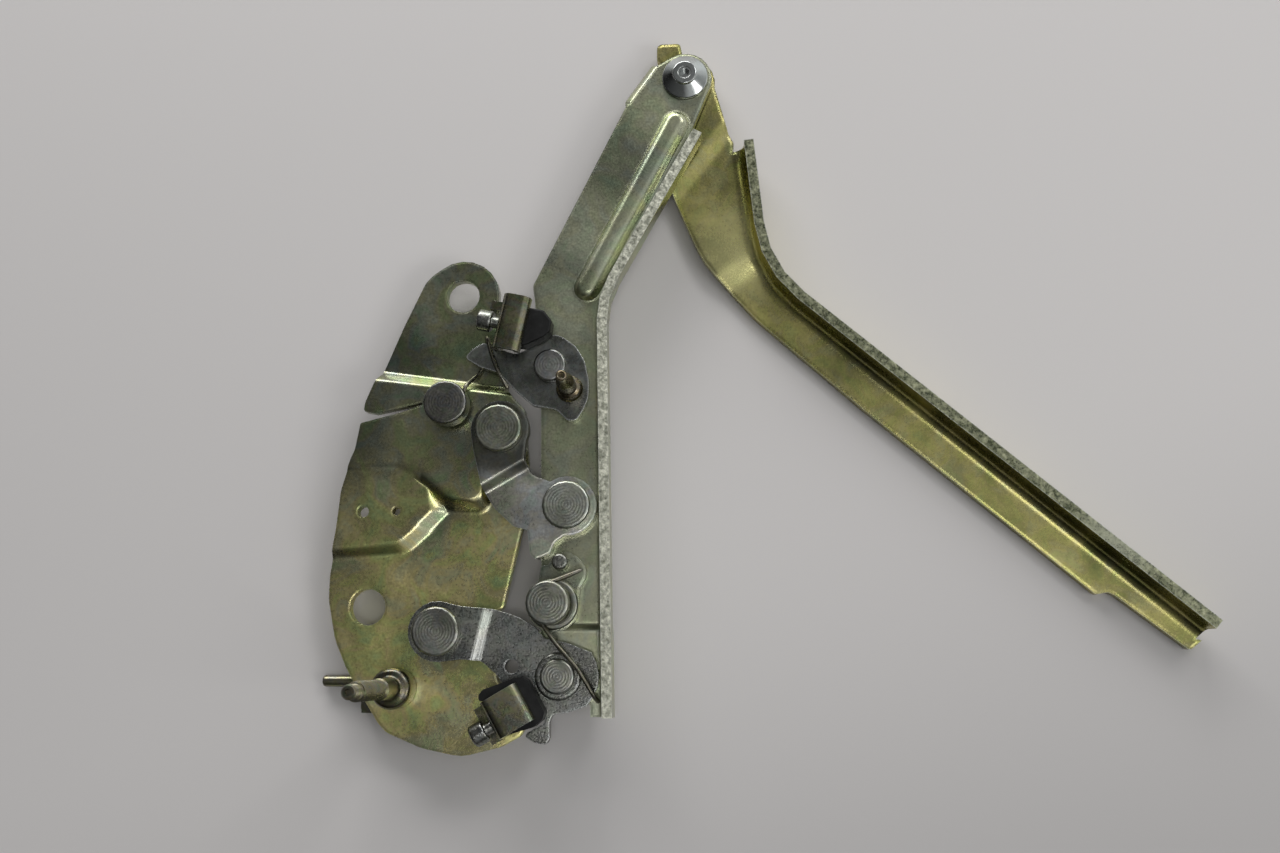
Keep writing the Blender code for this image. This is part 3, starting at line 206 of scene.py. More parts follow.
table_finish = bpy.data.materials.new("pale_table")
table_finish.use_nodes = True
tree = table_finish.node_tree
shader = tree.nodes["Principled BSDF"]
shader.inputs["Roughness"].default_value = 0.75
place = tree.nodes.new("ShaderNodeTexCoord").outputs["Object"]
# painted shade: the table's colour darkens towards the viewer's side
shade = smooth_step(tree, vector_maths(tree, "DOT_PRODUCT", place, TOWARDS_VIEWER), SHADE_START, SHADE_END)
tree.links.new(blend(tree, shade, TABLE_PALE, TABLE_SHADED), shader.inputs["Base Color"])
table.data.materials.append(table_finish)
print("table", 2 * TABLE_HALF, "m wide")

# %% [markdown]
# ## The lamps
# Metal shows mostly what it reflects. In the photograph the flat faces are dark, because they mirror a dim
# ceiling, while slopes and rounded edges flash white. So wide panels stand low in the north, the east and the
# corner between them, where only slopes mirror them, and a small weak one hangs overhead.

# %% Lamps
AIM = (0.09, -0.02, 0.0)
panels = {
    "ceiling_panel": ((0.16, -0.32, 1.15), (0.35, 0.20), 1.1),
    "north_panel": ((-0.20, 1.20, 0.55), (1.1, 0.40), 11.0),
    "corner_panel": ((0.80, 0.80, 0.90), (0.50, 0.35), 3.4),
    "east_panel": ((0.98, -0.42, 0.78), (0.55, 0.40), 2.8),
}
for name, (spot, size, power) in panels.items():
    light = bpy.data.lights.new(name, "AREA")
    light.shape = "RECTANGLE"
    light.size, light.size_y = size
    light.energy = power
    holder = bpy.data.objects.new(name, light)
    holder.location = spot
    holder.rotation_euler = (Vector(AIM) - Vector(spot)).to_track_quat("-Z", "Y").to_euler()
    bpy.context.scene.collection.objects.link(holder)
print("lamps:", list(panels), "with", round(sum(power for _, _, power in panels.values()), 1), "watts")

# %% [markdown]
# ## The room
# The room around the table is a world shader. It is the sum of a ceiling, brighter straight above and to the
# east, and of a bright band near the north-eastern horizon, like a row of windows. Each is a product of two
# smooth steps, one over the height and one over the side. The camera itself sees plain grey past the table.

# %% World
CEILING_BY_HEIGHT = (0.30, 0.75, 0.10, 1.0)
CEILING_BY_SIDE = (-0.15, 0.26, 0.09, 0.52)
WINDOWS_BY_HEIGHT = (0.62, 0.15, 0.0, 1.0)
WINDOWS_BY_SIDE = (-0.05, 0.80, 0.0, 1.0)
WINDOW_SIDE = (0.55, 0.83, 0.0)

world = bpy.data.worlds.new("studio")
world.use_nodes = True
bpy.context.scene.world = world
sky = world.node_tree
toward = sky.nodes.new("ShaderNodeTexCoord").outputs["Generated"]
level = add(sky, "ShaderNodeSeparateXYZ", Vector=toward)
window_side = vector_maths(sky, "DOT_PRODUCT", toward, WINDOW_SIDE)
ceiling = maths(sky, "MULTIPLY", smooth_step(sky, level.outputs["Z"], *CEILING_BY_HEIGHT),
                smooth_step(sky, level.outputs["X"], *CEILING_BY_SIDE))
windows = maths(sky, "MULTIPLY", smooth_step(sky, level.outputs["Z"], *WINDOWS_BY_HEIGHT),
                smooth_step(sky, window_side, *WINDOWS_BY_SIDE))
room = sky.nodes["Background"]
room.inputs["Color"].default_value = (0.97, 1.0, 1.0, 1.0)
sky.links.new(maths(sky, "ADD", ceiling, windows), room.inputs["Strength"])
plain = add(sky, "ShaderNodeBackground", Color=(0.50, 0.49, 0.485, 1.0))
seen = sky.nodes.new("ShaderNodeMixShader")
sky.links.new(sky.nodes.new("ShaderNodeLightPath").outputs["Is Camera Ray"], seen.inputs[0])
sky.links.new(room.outputs[0], seen.inputs[1])
sky.links.new(plain.outputs[0], seen.inputs[2])
sky.links.new(seen.outputs[0], sky.nodes["World Output"].inputs["Surface"])
bpy.context.scene.view_settings.view_transform = "Standard"
print("world:", world.name, "with", len(sky.nodes), "nodes")

# %% [markdown]
# ## Drifting colour
# A zinc coat is passivated in a bath, which leaves a thin film. Its thickness differs from place to place, so
# the colour drifts between two tones, with a faint rainbow in it. An image could show that, but noise needs no
# file and never repeats. Several finishes use the effect, so it is a node group with named sockets.

# %% Group: zinc bloom
def new_group(name, inputs, outputs):
    """A shader node group with float (f), colour (c) or vector (v) sockets."""
    kinds = {"f": "NodeSocketFloat", "c": "NodeSocketColor", "v": "NodeSocketVector"}
    group = bpy.data.node_groups.new(name, "ShaderNodeTree")
    for label, kind, value in inputs:
        socket = group.interface.new_socket(name=label, in_out="INPUT", socket_type=kinds[kind])
        if value is not None:
            socket.default_value = value
    for label, kind in outputs:
        group.interface.new_socket(name=label, in_out="OUTPUT", socket_type=kinds[kind])
    return group, group.nodes.new("NodeGroupInput"), group.nodes.new("NodeGroupOutput")


FILM_SCALE, FILM_SHIFT = 2.7, 7.3
FILM_COLOURS = [
    (0.30, (0.16, 0.34, 0.22)), (0.42, (0.42, 0.40, 0.16)), (0.50, (0.50, 0.30, 0.26)),
    (0.58, (0.36, 0.27, 0.42)), (0.68, (0.20, 0.36, 0.32)), (0.78, (0.50, 0.47, 0.22)),
]
bloom, entry, leave = new_group(
    "zinc_bloom",
    [("Vector", "v", None), ("Base", "c", (0.3, 0.3, 0.2, 1)), ("Second", "c", (0.4, 0.35, 0.15, 1)),
     ("Drift Scale", "f", 30.0), ("Rainbow", "f", 0.2), ("Shift", "f", 0.0)],
    [("Color", "c"), ("Mask", "f")],
)
drift = add(bloom, "ShaderNodeTexNoise", {"noise_dimensions": "4D"}, Vector=entry.outputs["Vector"],
            W=entry.outputs["Shift"], Scale=entry.outputs["Drift Scale"], Detail=4.0, Roughness=0.55, Distortion=0.6)
wide = ramp(bloom, drift.outputs[0], [(0.36, grey(0)), (0.66, grey(1))])
colour = blend(bloom, wide, entry.outputs["Base"], entry.outputs["Second"])
film_scale = maths(bloom, "MULTIPLY", entry.outputs["Drift Scale"], FILM_SCALE)
film_shift = maths(bloom, "ADD", entry.outputs["Shift"], FILM_SHIFT)
film = add(bloom, "ShaderNodeTexNoise", {"noise_dimensions": "4D"}, Vector=entry.outputs["Vector"],
           W=film_shift, Scale=film_scale, Detail=3.0, Roughness=0.5, Distortion=1.2)
colour = blend(bloom, entry.outputs["Rainbow"], colour, ramp(bloom, film.outputs[0], FILM_COLOURS))
bloom.links.new(colour, leave.inputs["Color"])
bloom.links.new(wide, leave.inputs["Mask"])
print("group:", bloom.name)

# %% [markdown]
# ## Sparkle
# Close up, the coat on rolled steel is finely grained, and each grain is a little lighter or darker than the
# next. Two noises make it, one fine and one about three times as broad. The group puts out a tint around 1 and a
# height for the bump.

# %% Group: grain
FINE_SHARE, BROAD_SHARE, BROAD_SIZE = 0.7, 0.3, 0.3
grain, entry, leave = new_group(
    "grain",
    [("Vector", "v", None), ("Size", "f", 1700.0), ("Contrast", "f", 0.5)],
    [("Tint", "f"), ("Height", "f")],
)
fine = add(grain, "ShaderNodeTexNoise", Vector=entry.outputs["Vector"], Scale=entry.outputs["Size"], Detail=1.0,
           Roughness=0.6)
broad_size = maths(grain, "MULTIPLY", entry.outputs["Size"], BROAD_SIZE)
broad = add(grain, "ShaderNodeTexNoise", Vector=entry.outputs["Vector"], Scale=broad_size, Detail=2.0, Roughness=0.6)
mixed = maths(grain, "ADD", maths(grain, "MULTIPLY", fine.outputs[0], FINE_SHARE),
              maths(grain, "MULTIPLY", broad.outputs[0], BROAD_SHARE))
centred = maths(grain, "SUBTRACT", mixed, 0.5)
grain.links.new(maths(grain, "MULTIPLY_ADD", centred, entry.outputs["Contrast"], 1.0), leave.inputs["Tint"])
grain.links.new(fine.outputs[0], leave.inputs["Height"])
print("group:", grain.name)

# %% [markdown]
# ## Worn edges and painted glints
# Where pieces were handled and tumbled, the coat is thin at the edges and brighter metal shows. The same edge
# colour also paints in the highlights that edges catch. The Bevel node gives a normal as if edges were round.
# Where it departs from the real one there is an edge, and that makes the mask.

# %% Group: worn edge and painted glint
EDGE_GAIN = 7.0
edge, entry, leave = new_group("worn_edge_and_glint", [("Radius", "f", 0.0006), ("Amount", "f", 1.0)], [("Mask", "f")])
soft = add(edge, "ShaderNodeBevel", {"samples": 6}, Radius=entry.outputs["Radius"])
flat = edge.nodes.new("ShaderNodeNewGeometry")
likeness = vector_maths(edge, "DOT_PRODUCT", soft.outputs[0], flat.outputs["Normal"])
strong = maths(edge, "MULTIPLY", maths(edge, "SUBTRACT", 1.0, likeness), EDGE_GAIN, clamp=True)
edge.links.new(maths(edge, "MULTIPLY", strong, entry.outputs["Amount"]), leave.inputs["Mask"])
print("group:", edge.name)

# %% [markdown]
# ## Turned rings
# The press that heads a rivet leaves fine rings around its middle. A sine of the distance from the axis draws
# them, and a little noise makes them waver. The material moves the pattern's middle to each rivet.

# %% Group: turned rings
rings, entry, leave = new_group(
    "turned", [("Vector", "v", None), ("Pitch", "f", 0.0005), ("Wobble", "f", 0.15)], [("Height", "f")])
across = vector_maths(rings, "MULTIPLY", entry.outputs["Vector"], (1.0, 1.0, 0.0))
from_axis = vector_maths(rings, "LENGTH", across)
waver = add(rings, "ShaderNodeTexNoise", Vector=entry.outputs["Vector"], Scale=700.0, Detail=2.0)
count = maths(rings, "DIVIDE", from_axis, entry.outputs["Pitch"])
count = maths(rings, "ADD", count, maths(rings, "MULTIPLY", waver.outputs[0], entry.outputs["Wobble"]))
wave = maths(rings, "SINE", maths(rings, "MULTIPLY", count, FULL_TURN))
rings.links.new(maths(rings, "MULTIPLY_ADD", wave, 0.5, 0.5), leave.inputs["Height"])
print("group:", rings.name)

# %% [markdown]
# ## Soft bends
# A pressed sheet turns from one face to the next over a soft radius, and its cut edge is crisp. More faces could
# round every bend, but they are hard to keep even. So the Bevel node rounds the shading, and a mask keeps the
# plain normal where two faces meet steeply.

# %% Soft bends
SHALLOW, STEEP = 0.975, 0.900


def softened(tree, radius):
    """The normal of a surface whose shallow bends are rounded, while its cut edges stay crisp."""
    rounding = add(tree, "ShaderNodeBevel", {"samples": 12}, Radius=radius)
    sheet = tree.nodes.new("ShaderNodeNewGeometry")
    likeness = vector_maths(tree, "DOT_PRODUCT", rounding.outputs[0], sheet.outputs["True Normal"])
    choice = add(tree, "ShaderNodeMix", {"data_type": "VECTOR"})
    tree.links.new(smooth_step(tree, likeness, SHALLOW, STEEP), choice.inputs[0])
    tree.links.new(rounding.outputs[0], choice.inputs[4])
    tree.links.new(sheet.outputs["Normal"], choice.inputs[5])
    return choice.outputs[1]


print("crisp from", round(math.degrees(math.acos(STEEP))), "degrees")

# %% [markdown]
# ## Plated metal
# Every steel piece is plated, and the finishes differ only in numbers, so one function builds them all. A field
# lifts the colour over part of a plate, and bright spots lift it around given points: on the hood arm these are
# painted highlights. The shader stays in the material, and the groups only feed its colour, roughness and bump.

# %% Plated metal
SPOT_MOST, SPOT_CORE = 0.85, 0.2


def place_group(tree, group, **values):
    """A node group placed in a material, with its inputs fed by name."""
    return add(tree, "ShaderNodeGroup", {"node_tree": group}, **values)


def plated(name, base, second, rainbow=0.2, drift=30.0, size=1300.0, contrast=0.6, rough=(0.30, 0.45),
           bump=0.00002, edge_colour=(0.75, 0.76, 0.74), edge_amount=0.7, edge_radius=0.0005, shift=0.0,
           metallic=1.0, rings_at=None, pitch=0.0005, ring_depth=0.00003, field=None, soften=0.0, bright_spots=()):
    """A plated metal whose colour drifts, sparkles and brightens at its edges."""
    material = bpy.data.materials.new(name)
    material.use_nodes = True
    tree = material.node_tree
    shader = tree.nodes["Principled BSDF"]
    shader.inputs["Metallic"].default_value = metallic
    place = tree.nodes.new("ShaderNodeTexCoord").outputs["Object"]
    colours = place_group(tree, bloom, Vector=place, Base=(*base, 1), Second=(*second, 1), Drift_Scale=drift,
                          Rainbow=rainbow, Shift=shift)
    speck = place_group(tree, grain, Vector=place, Size=size, Contrast=contrast)
    wear_and_glint = place_group(tree, edge, Radius=edge_radius, Amount=edge_amount)
    colour = vector_maths(tree, "SCALE", colours.outputs["Color"], scale=speck.outputs["Tint"])
    if field is not None:
        (start, end), gain = field
        along = add(tree, "ShaderNodeSeparateXYZ", Vector=place)
        share = smooth_step(tree, along.outputs["Y"], start, end)
        colour = blend(tree, share, colour, blend(tree, 1.0, colour, (*gain, 1), "MULTIPLY"))
    # bright spots: colour painted lighter around given points, painted highlights on the hood arm
    for spot, reach, tone in bright_spots:
        away = vector_maths(tree, "DISTANCE", place, spot)
        near = smooth_step(tree, away, reach, reach * SPOT_CORE, 0.0, SPOT_MOST)
        colour = blend(tree, near, colour, (*tone, 1))
    # worn edges with painted glints: the edge colour stands in both for wear and for the highlights edges catch
    colour = blend(tree, wear_and_glint.outputs["Mask"], colour, (*edge_colour, 1))
    tree.links.new(colour, shader.inputs["Base Color"])
    smoothest, roughest = rough
    spread = maths(tree, "MULTIPLY_ADD", colours.outputs["Mask"], roughest - smoothest, smoothest)
    tree.links.new(maths(tree, "MULTIPLY", spread, speck.outputs["Tint"]), shader.inputs["Roughness"])
    height = speck.outputs["Height"]
    if rings_at is not None:
        centre = add(tree, "ShaderNodeMapping", Vector=place, Location=(-rings_at[0], -rings_at[1], 0.0))
        lathe = place_group(tree, rings, Vector=centre.outputs[0], Pitch=pitch)
        height = maths(tree, "ADD", height, maths(tree, "MULTIPLY", lathe.outputs["Height"], ring_depth / bump))
    relief = add(tree, "ShaderNodeBump", Strength=1.0, Distance=bump, Height=height)
    if soften > 0:
        tree.links.new(softened(tree, soften), relief.inputs["Normal"])
    tree.links.new(relief.outputs[0], shader.inputs["Normal"])
    return material


print("groups ready:", [g.name for g in bpy.data.node_groups])

# %% [markdown]
# ## Olive, golden and grey finishes
# The body plate is olive, with a golden lower field. The mid arm is a paler olive, the brackets and the stud are
# darker ones, and the hood arm is golden, with painted highlights at its bend and its upper step. The upper link is
# grey, and its half beyond the step is paler. The large pressings get soft bends.

# %% Olive, golden and grey
link_low, link_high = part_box("upper_link")
link_step = link_low[1] + (link_high[1] - link_low[1]) * 0.52
olive = plated("olive_zinc", (0.21, 0.28, 0.18), (0.37, 0.42, 0.24), rainbow=0.26, drift=30.0,
               rough=(0.23, 0.34), field=((-0.030, -0.085), (2.3, 2.05, 1.5)), soften=0.0014, edge_amount=0.2)
olive_arm = plated("olive_zinc_arm", (0.33, 0.375, 0.27), (0.56, 0.60, 0.40), rainbow=0.16, drift=26.0, shift=3.1,
                   rough=(0.24, 0.34), soften=0.0016, edge_amount=0.35)
dark_olive = plated("olive_zinc_small", (0.13, 0.15, 0.095), (0.23, 0.24, 0.145), rainbow=0.18, drift=70.0,
                    shift=6.6, rough=(0.22, 0.32), edge_amount=0.3)
stud_olive = plated("olive_zinc_stud", (0.08, 0.085, 0.05), (0.15, 0.15, 0.09), rainbow=0.12, drift=90.0,
                    shift=6.9, contrast=0.5, rough=(0.26, 0.36), edge_amount=0.0)
golden = plated("golden_zinc", (0.24, 0.25, 0.085), (0.62, 0.57, 0.20), rainbow=0.14, drift=38.0, shift=5.7,
                rough=(0.22, 0.32), edge_amount=0.4, soften=0.0022,
                # painted highlights: bright spots at the hood arm's bend and its upper step stand in for the light
                # they catch
                bright_spots=(((0.1067, 0.0293, 0.011), 0.030, (1.0, 0.93, 0.45)),
                        ((0.1002, 0.0703, 0.013), 0.012, (1.0, 0.95, 0.55))))
grey_link = plated("grey_zinc", (0.10, 0.11, 0.085), (0.16, 0.17, 0.14), rainbow=0.08, drift=35.0, shift=1.3,
                   rough=(0.26, 0.36), soften=0.0012, edge_amount=0.5,
                   field=((link_step + 0.004, link_step - 0.002), (3.7, 3.7, 4.0)))
print("the upper link's step is at y =", round(link_step / MM, 1), "mm")

# %% [markdown]
# ## Bright and dark finishes
# The lower link and the stop screws are bright zinc with a coarse sparkle, the latch lever is bluish, its bolt is
# brownish brass, the springs are dark wire, the bushes are bronze, and the pivot screw is smooth as chrome. Each
# is the same function with other numbers.

# %% Bright and dark
bright = plated("bright_zinc", (0.17, 0.178, 0.165), (0.30, 0.31, 0.285), rainbow=0.06, drift=50.0, shift=2.2,
                contrast=1.4, size=1400.0, rough=(0.24, 0.34), bump=0.00005, soften=0.0008,
                edge_colour=(0.9, 0.91, 0.9))
# the latch lever's near-white rim colour is a painted highlight as well as wear
blue = plated("blue_zinc", (0.17, 0.185, 0.17), (0.34, 0.36, 0.335), rainbow=0.08, drift=90.0, shift=4.4,
              rough=(0.24, 0.34), edge_radius=0.0010, edge_colour=(0.95, 0.96, 0.95), edge_amount=1.0)
brass = plated("brown_brass", (0.13, 0.11, 0.062), (0.25, 0.21, 0.12), rainbow=0.12, drift=160.0, shift=8.8,
               rough=(0.22, 0.34), edge_colour=(0.55, 0.52, 0.42), edge_amount=0.5)
wire_steel = plated("spring_wire", (0.12, 0.12, 0.095), (0.22, 0.215, 0.165), rainbow=0.08, drift=150.0, shift=6.1,
                    rough=(0.25, 0.36), edge_amount=0.0)
bronze = plated("bearing_bronze", (0.30, 0.21, 0.11), (0.38, 0.28, 0.15), rainbow=0.05, drift=120.0)
chrome = plated("chrome", (0.42, 0.44, 0.43), (0.54, 0.56, 0.55), rainbow=0.03, drift=90.0, contrast=0.1,
                rough=(0.14, 0.22), bump=0.000008)
print("bright and dark finishes:", [m.name for m in (bright, blue, brass, wire_steel, bronze, chrome)])

# %% [markdown]
# ## Finishes of the cut edges
# Both arms have an upright flange, and its top is where the sheet was cut. A cut face is torn, so it is rougher
# and more speckled than the rolled faces, and less of it is bare metal.

# %% Finishes of the cut edges
cut_olive = plated("cut_edge_olive", (0.08, 0.095, 0.05), (0.36, 0.37, 0.24), rainbow=0.05, drift=560.0, size=1500.0,
                   contrast=1.4, rough=(0.26, 0.42), bump=0.0001, shift=5.5, edge_amount=0.6, metallic=0.7,
                   # a lighter patch near the far end of the hood flange's top
                   bright_spots=(((0.2290, -0.0790, 0.020), 0.022, (0.45, 0.46, 0.36)),))
cut = plated("cut_edge", (0.26, 0.27, 0.21), (0.72, 0.72, 0.60), rainbow=0.05, drift=560.0, size=1400.0,
             contrast=1.6, rough=(0.35, 0.55), bump=0.00015, shift=9.9, edge_amount=0.3, metallic=0.35)
print("cut finishes:", cut_olive.name, cut.name)

# %% [markdown]
# ## Rubber
# The two stops are black moulded rubber, matt and slightly dusty. It isn't metal, so it gets a shader of its own:
# a very dark colour with noise in it, weak reflections, and a grain in the roughness and the bump.

# %% Rubber
rubber = bpy.data.materials.new("matt_rubber")
rubber.use_nodes = True
tree = rubber.node_tree
shader = tree.nodes["Principled BSDF"]
place = tree.nodes.new("ShaderNodeTexCoord").outputs["Object"]
speck = place_group(tree, grain, Vector=place, Size=900.0, Contrast=0.5)
dust = add(tree, "ShaderNodeTexNoise", Vector=place, Scale=260.0, Detail=5.0)
colour = ramp(tree, dust.outputs[0], [(0.35, grey(0.004)), (0.75, grey(0.014))])
shader.inputs["Specular IOR Level"].default_value = 0.25
tree.links.new(colour, shader.inputs["Base Color"])
tree.links.new(maths(tree, "MULTIPLY", speck.outputs["Tint"], 0.5), shader.inputs["Roughness"])
relief = add(tree, "ShaderNodeBump", Strength=1.0, Distance=0.00005, Height=speck.outputs["Height"])
tree.links.new(relief.outputs[0], shader.inputs["Normal"])
print("rubber:", rubber.name)

# %% [markdown]
# ## Rounded edges
# Sheet metal that has been pressed, tumbled and plated has no razor edges: each one catches a thin line of
# light. A copy of a frame node gets its doubles merged and its flat faces joined, and then its sharp outer edges
# are bevelled. The copy replaces the node and rides on the same body.

# %% Rounded copies
MERGE_WITHIN = 0.000004
TINY_EDGE = 0.00001
SAME_PLANE = math.radians(0.5)
body_of_node = {name: body for body, names in frame["record"]["behaviour"]["bodies"].items() for name in names}


def rounded_copy(name, width, material, segments=2, sharp=28.0, crease=32.0, cut_faces=None, cut_finish=None):
    """A bevelled copy of a node. cut_faces picks the faces that get the cut edge's finish."""
    mesh = nodes[name].data.copy()
    mesh.materials.clear()
    mesh.materials.append(material)
    if cut_faces:
        mesh.materials.append(cut_finish)
    piece = bpy.data.objects.new(name + "_look", mesh)
    bpy.context.scene.collection.objects.link(piece)
    work = bmesh.new()
    work.from_mesh(mesh)
    bmesh.ops.remove_doubles(work, verts=work.verts, dist=MERGE_WITHIN)
    bmesh.ops.dissolve_limit(work, angle_limit=SAME_PLANE, verts=work.verts, edges=work.edges)
    bmesh.ops.dissolve_degenerate(work, edges=work.edges, dist=TINY_EDGE)
    for face in work.faces:
        face.material_index = 1 if cut_faces and cut_faces(face) else 0
    if width > 0:
        edges = [e for e in work.edges if len(e.link_faces) == 2 and e.is_convex
                 and e.calc_face_angle() > math.radians(sharp)]
        bmesh.ops.bevel(work, geom=edges, offset=width, offset_type="OFFSET", affect="EDGES", segments=segments,
                        profile=0.5, material=-1, clamp_overlap=True)
    for face in work.faces:
        face.smooth = True
    for e in work.edges:
        if len(e.link_faces) == 2 and e.calc_face_angle() > math.radians(crease):
            e.smooth = False
    work.to_mesh(mesh)
    work.free()
    even = piece.modifiers.new("even_shading", "WEIGHTED_NORMAL")
    even.keep_sharp = True
    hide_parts(name)
    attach(piece, body_of_node[name])
    return piece


print("bodies:", sorted(set(body_of_node.values())))

# %% [markdown]
# ## The pressings
# The plate, the arms, the links and the brackets are all sheet. The five large ones have soft bends, which the
# shading rounds, so only their steep cut edges are bevelled. The flange tops of both arms get the cut finish.

# %% Pressings
CAP_SHARE = 0.8
UPWARDS = 0.9
SOFT_ANGLES = {"sharp": 62.0, "crease": 60.0}
soft_sheets = ("base_plate", "mid_arm", "hood_arm", "upper_link", "lower_link")
flange_tops = {"mid_arm": cut, "hood_arm": cut_olive}


def top_of(name):
    """A test for the faces that cap a pressing's flange: they look up, and they are in its highest fifth."""
    low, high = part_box(name)
    cap_z = low[2] + (high[2] - low[2]) * CAP_SHARE

    def chosen(face):
        return face.normal.z > UPWARDS and face.calc_center_median().z > cap_z
    return chosen


sheets = {
    "base_plate": (0.00045, olive), "mid_arm": (0.00045, olive_arm), "hood_arm": (0.00045, golden),
    "lower_link": (0.0005, bright), "upper_link": (0.0006, grey_link), "latch_lever": (0.0005, blue),
    "pawl": (0.0004, olive_arm), "upper_stop_bracket": (0.0004, dark_olive),
    "lower_stop_bracket": (0.0004, dark_olive), "pin_bracket": (0.0003, dark_olive),
}
for name, (width, finish) in sheets.items():
    angles = SOFT_ANGLES if name in soft_sheets else {}
    caps = {"cut_faces": top_of(name), "cut_finish": flange_tops[name]} if name in flange_tops else {}
    rounded_copy(name, width, finish, **angles, **caps)
print("pressings:", len(sheets))

# %% [markdown]
# ## Rivets
# The rivets and posts are headed cold in a press, so their flat tops show rings around the middle. Each top
# mirrors another part of the room, so each rivet's finish has that tone painted in, a painted reflection.

# %% Rivets
ROUND_EDGE = 0.00035
pressed_rings = dict(rainbow=0.10, drift=90.0, pitch=0.0010, ring_depth=0.00002, rough=(0.30, 0.40), bump=0.00003)
# painted reflections: each rivet's colours hold the tone of the part of the room its top mirrors
rivets = {
    "upper_link_base_rivet": ("rivet_a", (0.20, 0.22, 0.175), (0.27, 0.285, 0.23), 0.0),
    "upper_link_arm_rivet": ("rivet_b", (0.33, 0.35, 0.30), (0.45, 0.47, 0.41), 2.0),
    "lower_link_base_rivet": ("rivet_d", (0.25, 0.262, 0.23), (0.34, 0.35, 0.31), 3.0),
    "lower_link_arm_rivet": ("rivet_c", (0.26, 0.275, 0.24), (0.36, 0.37, 0.32), 4.0),
    "latch_pivot_rivet": ("rivet_l", (0.26, 0.27, 0.265), (0.36, 0.37, 0.36), 5.0),
    "catch_post": ("rivet_k", (0.15, 0.16, 0.145), (0.21, 0.22, 0.20), 6.0),
    "spring_post": ("rivet_s", (0.23, 0.245, 0.205), (0.32, 0.335, 0.28), 7.0),
}


def middle_of(name):
    low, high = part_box(name)
    return ((low[0] + high[0]) / 2, (low[1] + high[1]) / 2)


for name, (finish_name, base, second, shift) in rivets.items():
    finish = plated(finish_name, base, second, rings_at=middle_of(name), shift=shift, **pressed_rings)
    rounded_copy(name, ROUND_EDGE, finish)
print("rivets and posts:", len(rivets))

# %% [markdown]
# ## Pins, screws and bushes
# These are turned pieces. Their faces are small, so a narrow bevel and the finishes made above are enough.

# %% Turned pieces
turned_pieces = {
    "lower_link_ring": bright, "lower_link_washer": bronze, "pivot_bush": bronze, "pivot_nut": bright,
    "pawl_pin": bright, "striker_bolt": brass, "upper_stop_screw": bright, "lower_stop_screw": bright,
    "locating_pin": dark_olive, "pivot_screw": chrome,
}
for name, finish in turned_pieces.items():
    rounded_copy(name, ROUND_EDGE, finish)
print("turned pieces:", len(turned_pieces))

# %% [markdown]
# ## Stops and springs
# The moulded stops have much rounder edges than the steel. The springs are bent from round wire. The frame's wire
# has few sides, so a Subdivision Surface makes it round.

# %% Stops and springs
RUBBER_EDGE = 0.0013
WIRE_LEVELS = 2
for name in ("upper_stop_rubber", "lower_stop_rubber"):
    rounded_copy(name, RUBBER_EDGE, rubber, segments=4)
for name in ("pawl_spring", "latch_spring"):
    strand = rounded_copy(name, 0.0, wire_steel)
    smooth = strand.modifiers.new("round_wire", "SUBSURF")
    smooth.levels = WIRE_LEVELS
    smooth.render_levels = WIRE_LEVELS
    print(name, "faces before smoothing:", len(strand.data.polygons))

# %% [markdown]
# ## Turned shapes
# The stud is turned on a lathe. Half its outline, swept once around the axis, gives the body. If the sweep also
# climbs by one pitch in a turn, the same operator makes a thread.

# %% Turned shapes
TURN_STEPS = 48
TURNED_CREASE = math.radians(38)


def swept(name, profile, centre, body, material, climb=0.0):
    """A turned surface from (radius, z) points. A climb makes it helical."""
    mesh = bpy.data.meshes.new(name)
    work = bmesh.new()
    verts = [work.verts.new((r, 0.0, z)) for r, z in profile]
    for first, second in zip(verts, verts[1:]):
        work.edges.new((first, second))
    bmesh.ops.translate(work, verts=work.verts, vec=(centre[0], centre[1], 0.0))
    bmesh.ops.spin(work, geom=work.verts[:] + work.edges[:], cent=(centre[0], centre[1], 0.0), axis=(0.0, 0.0, 1.0),
                   dvec=(0.0, 0.0, climb / TURN_STEPS), angle=FULL_TURN, steps=TURN_STEPS, use_merge=climb == 0.0)
    bmesh.ops.remove_doubles(work, verts=work.verts, dist=0.000002)
    bmesh.ops.recalc_face_normals(work, faces=work.faces)
    for face in work.faces:
        face.smooth = True
    for e in work.edges:
        if len(e.link_faces) == 2 and e.calc_face_angle() > TURNED_CREASE:
            e.smooth = False
    work.to_mesh(mesh)
    work.free()
    piece = bpy.data.objects.new(name, mesh)
    bpy.context.scene.collection.objects.link(piece)
    mesh.materials.append(material)
    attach(piece, body)
    return piece


print("a turned surface has", TURN_STEPS, "steps")

# %% [markdown]
# ## The stud
# The frame holds the stud as plain cylinders. Here it is turned again inside the same sizes, as one closed
# outline from the tip down: a ribbed pilot, the thread's core, a neck, a domed collar, the shank through the
# plate and the rear head.

# %% The stud
stud_low, stud_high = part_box("body_stud")
stud_at = middle_of("body_stud")
top, rear = stud_high[2], stud_low[2]
collar_low = 3.8 * MM
collar_top = collar_low + 8.8 * MM
thread_low = collar_top + 13.0 * MM
thread_top = top - 6.5 * MM
pilot, groove, core, neck = 2.4 * MM, 2.1 * MM, 2.75 * MM, 3.6 * MM
rib_count, rib_pitch = 5, 1.05 * MM

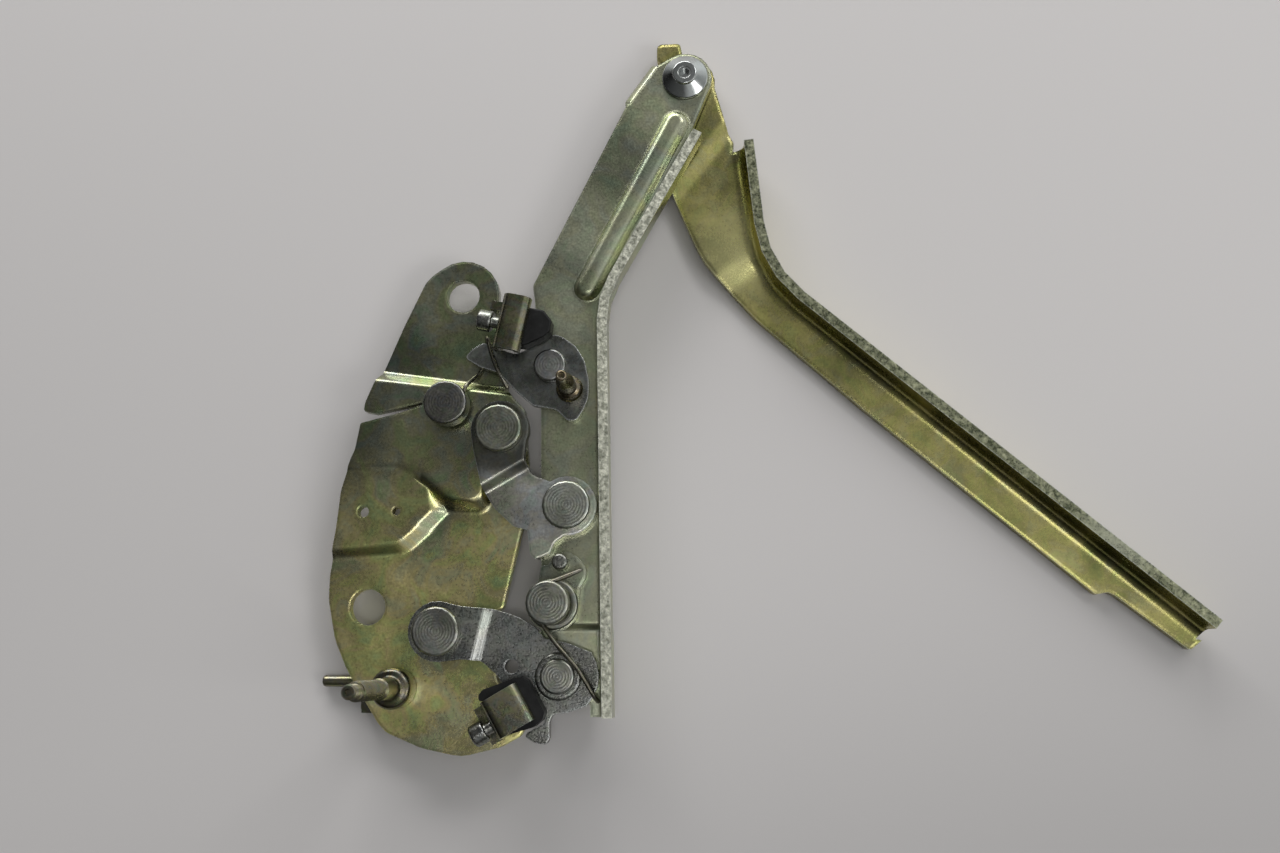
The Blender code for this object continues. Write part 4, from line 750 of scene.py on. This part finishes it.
profile = [(0.0, top - 0.8 * MM), (0.8 * MM, top - 0.8 * MM), (1.1 * MM, top), (1.9 * MM, top),
           (pilot, top - 0.6 * MM)]
for i in range(rib_count):
    z = top - 0.9 * MM - i * rib_pitch
    profile += [(pilot, z), (groove, z - 0.25 * MM), (groove, z - 0.55 * MM), (pilot, z - 0.8 * MM)]
profile += [(2.3 * MM, thread_top), (core, thread_top - 0.2 * MM), (core, thread_low),
            (neck, thread_low - 0.7 * MM), (neck, collar_top + 1.2 * MM), (3.9 * MM, collar_top + 0.4 * MM),
            (4.5 * MM, collar_top), (5.2 * MM, collar_top), (6.2 * MM, collar_top - 0.4 * MM),
            (6.8 * MM, collar_top - 1.2 * MM), (7.0 * MM, collar_top - 2.4 * MM), (7.0 * MM, collar_low + 0.3 * MM),
            (6.7 * MM, collar_low), (neck, collar_low), (neck, rear + 2.5 * MM), (7.2 * MM, rear + 2.5 * MM),
            (7.5 * MM, rear + 2.2 * MM), (7.5 * MM, rear + 0.3 * MM), (7.2 * MM, rear), (0.0, rear)]
stud = swept("stud_look", profile, stud_at, "base", stud_olive)
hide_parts("body_stud")
print("stud:", len(stud.data.polygons), "faces")

# %% [markdown]
# ## The stud's thread
# A thread is one groove that winds up the stud. A zigzag line with one tooth for each turn climbs by one pitch
# while it goes around once, so each tooth meets the next one.

# %% The thread
PITCH = 1.25 * MM
ROOT, CREST = 2.72 * MM, 3.26 * MM
turn_count = int((thread_top - thread_low) / PITCH) - 1
zigzag = []
for i in range(turn_count):
    z = thread_low + i * PITCH
    zigzag += [(ROOT, z), (CREST, z + 0.42 * PITCH), (CREST, z + 0.55 * PITCH)]
zigzag.append((ROOT, thread_low + turn_count * PITCH))
thread = swept("stud_thread", zigzag, stud_at, "base", stud_olive, climb=PITCH)
print("thread:", turn_count, "turns,", len(thread.data.polygons), "faces")

# %% [markdown]
# ## The pivot screw's socket
# The pivot screw is driven by a six-sided key. The frame has a round recess there. A flat curve with a round
# outline and a six-sided one, filled between them and given a height, makes a lining with the right hole. It is
# turned into a mesh, because only a mesh can be moved to its place for good.

# %% Socket
SOCKET_REACH = 2.28 * MM
KEY_WIDTH = 3.3 * MM
KEY_TURN = 0.3
screw_at = middle_of("pivot_screw")
screw_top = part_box("pivot_screw")[1][2]
socket_low, socket_high = screw_top - 2.4 * MM, screw_top - 0.25 * MM

curve = bpy.data.curves.new("pivot_screw_socket", "CURVE")
curve.dimensions = "2D"
curve.fill_mode = "BOTH"
curve.extrude = (socket_high - socket_low) / 2
for radius, corners in ((SOCKET_REACH, 32), (KEY_WIDTH / 2 / math.cos(math.pi / 6), 6)):
    line = curve.splines.new("POLY")
    line.points.add(corners - 1)
    for i, point in enumerate(line.points):
        angle = FULL_TURN * i / corners + KEY_TURN
        point.co = (screw_at[0] + radius * math.cos(angle), screw_at[1] + radius * math.sin(angle), 0.0, 1.0)
    line.use_cyclic_u = True
outline = bpy.data.objects.new("socket_outline", curve)
bpy.context.scene.collection.objects.link(outline)
bpy.context.view_layer.update()
mesh = bpy.data.meshes.new_from_object(outline.evaluated_get(bpy.context.evaluated_depsgraph_get()))
bpy.data.objects.remove(outline)
mesh.transform(Matrix.Translation((0.0, 0.0, (socket_low + socket_high) / 2)))
mesh.materials.clear()
mesh.materials.append(chrome)
socket = bpy.data.objects.new("pivot_screw_socket", mesh)
bpy.context.scene.collection.objects.link(socket)
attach(socket, "mid_arm")
print("socket:", len(mesh.polygons), "faces")
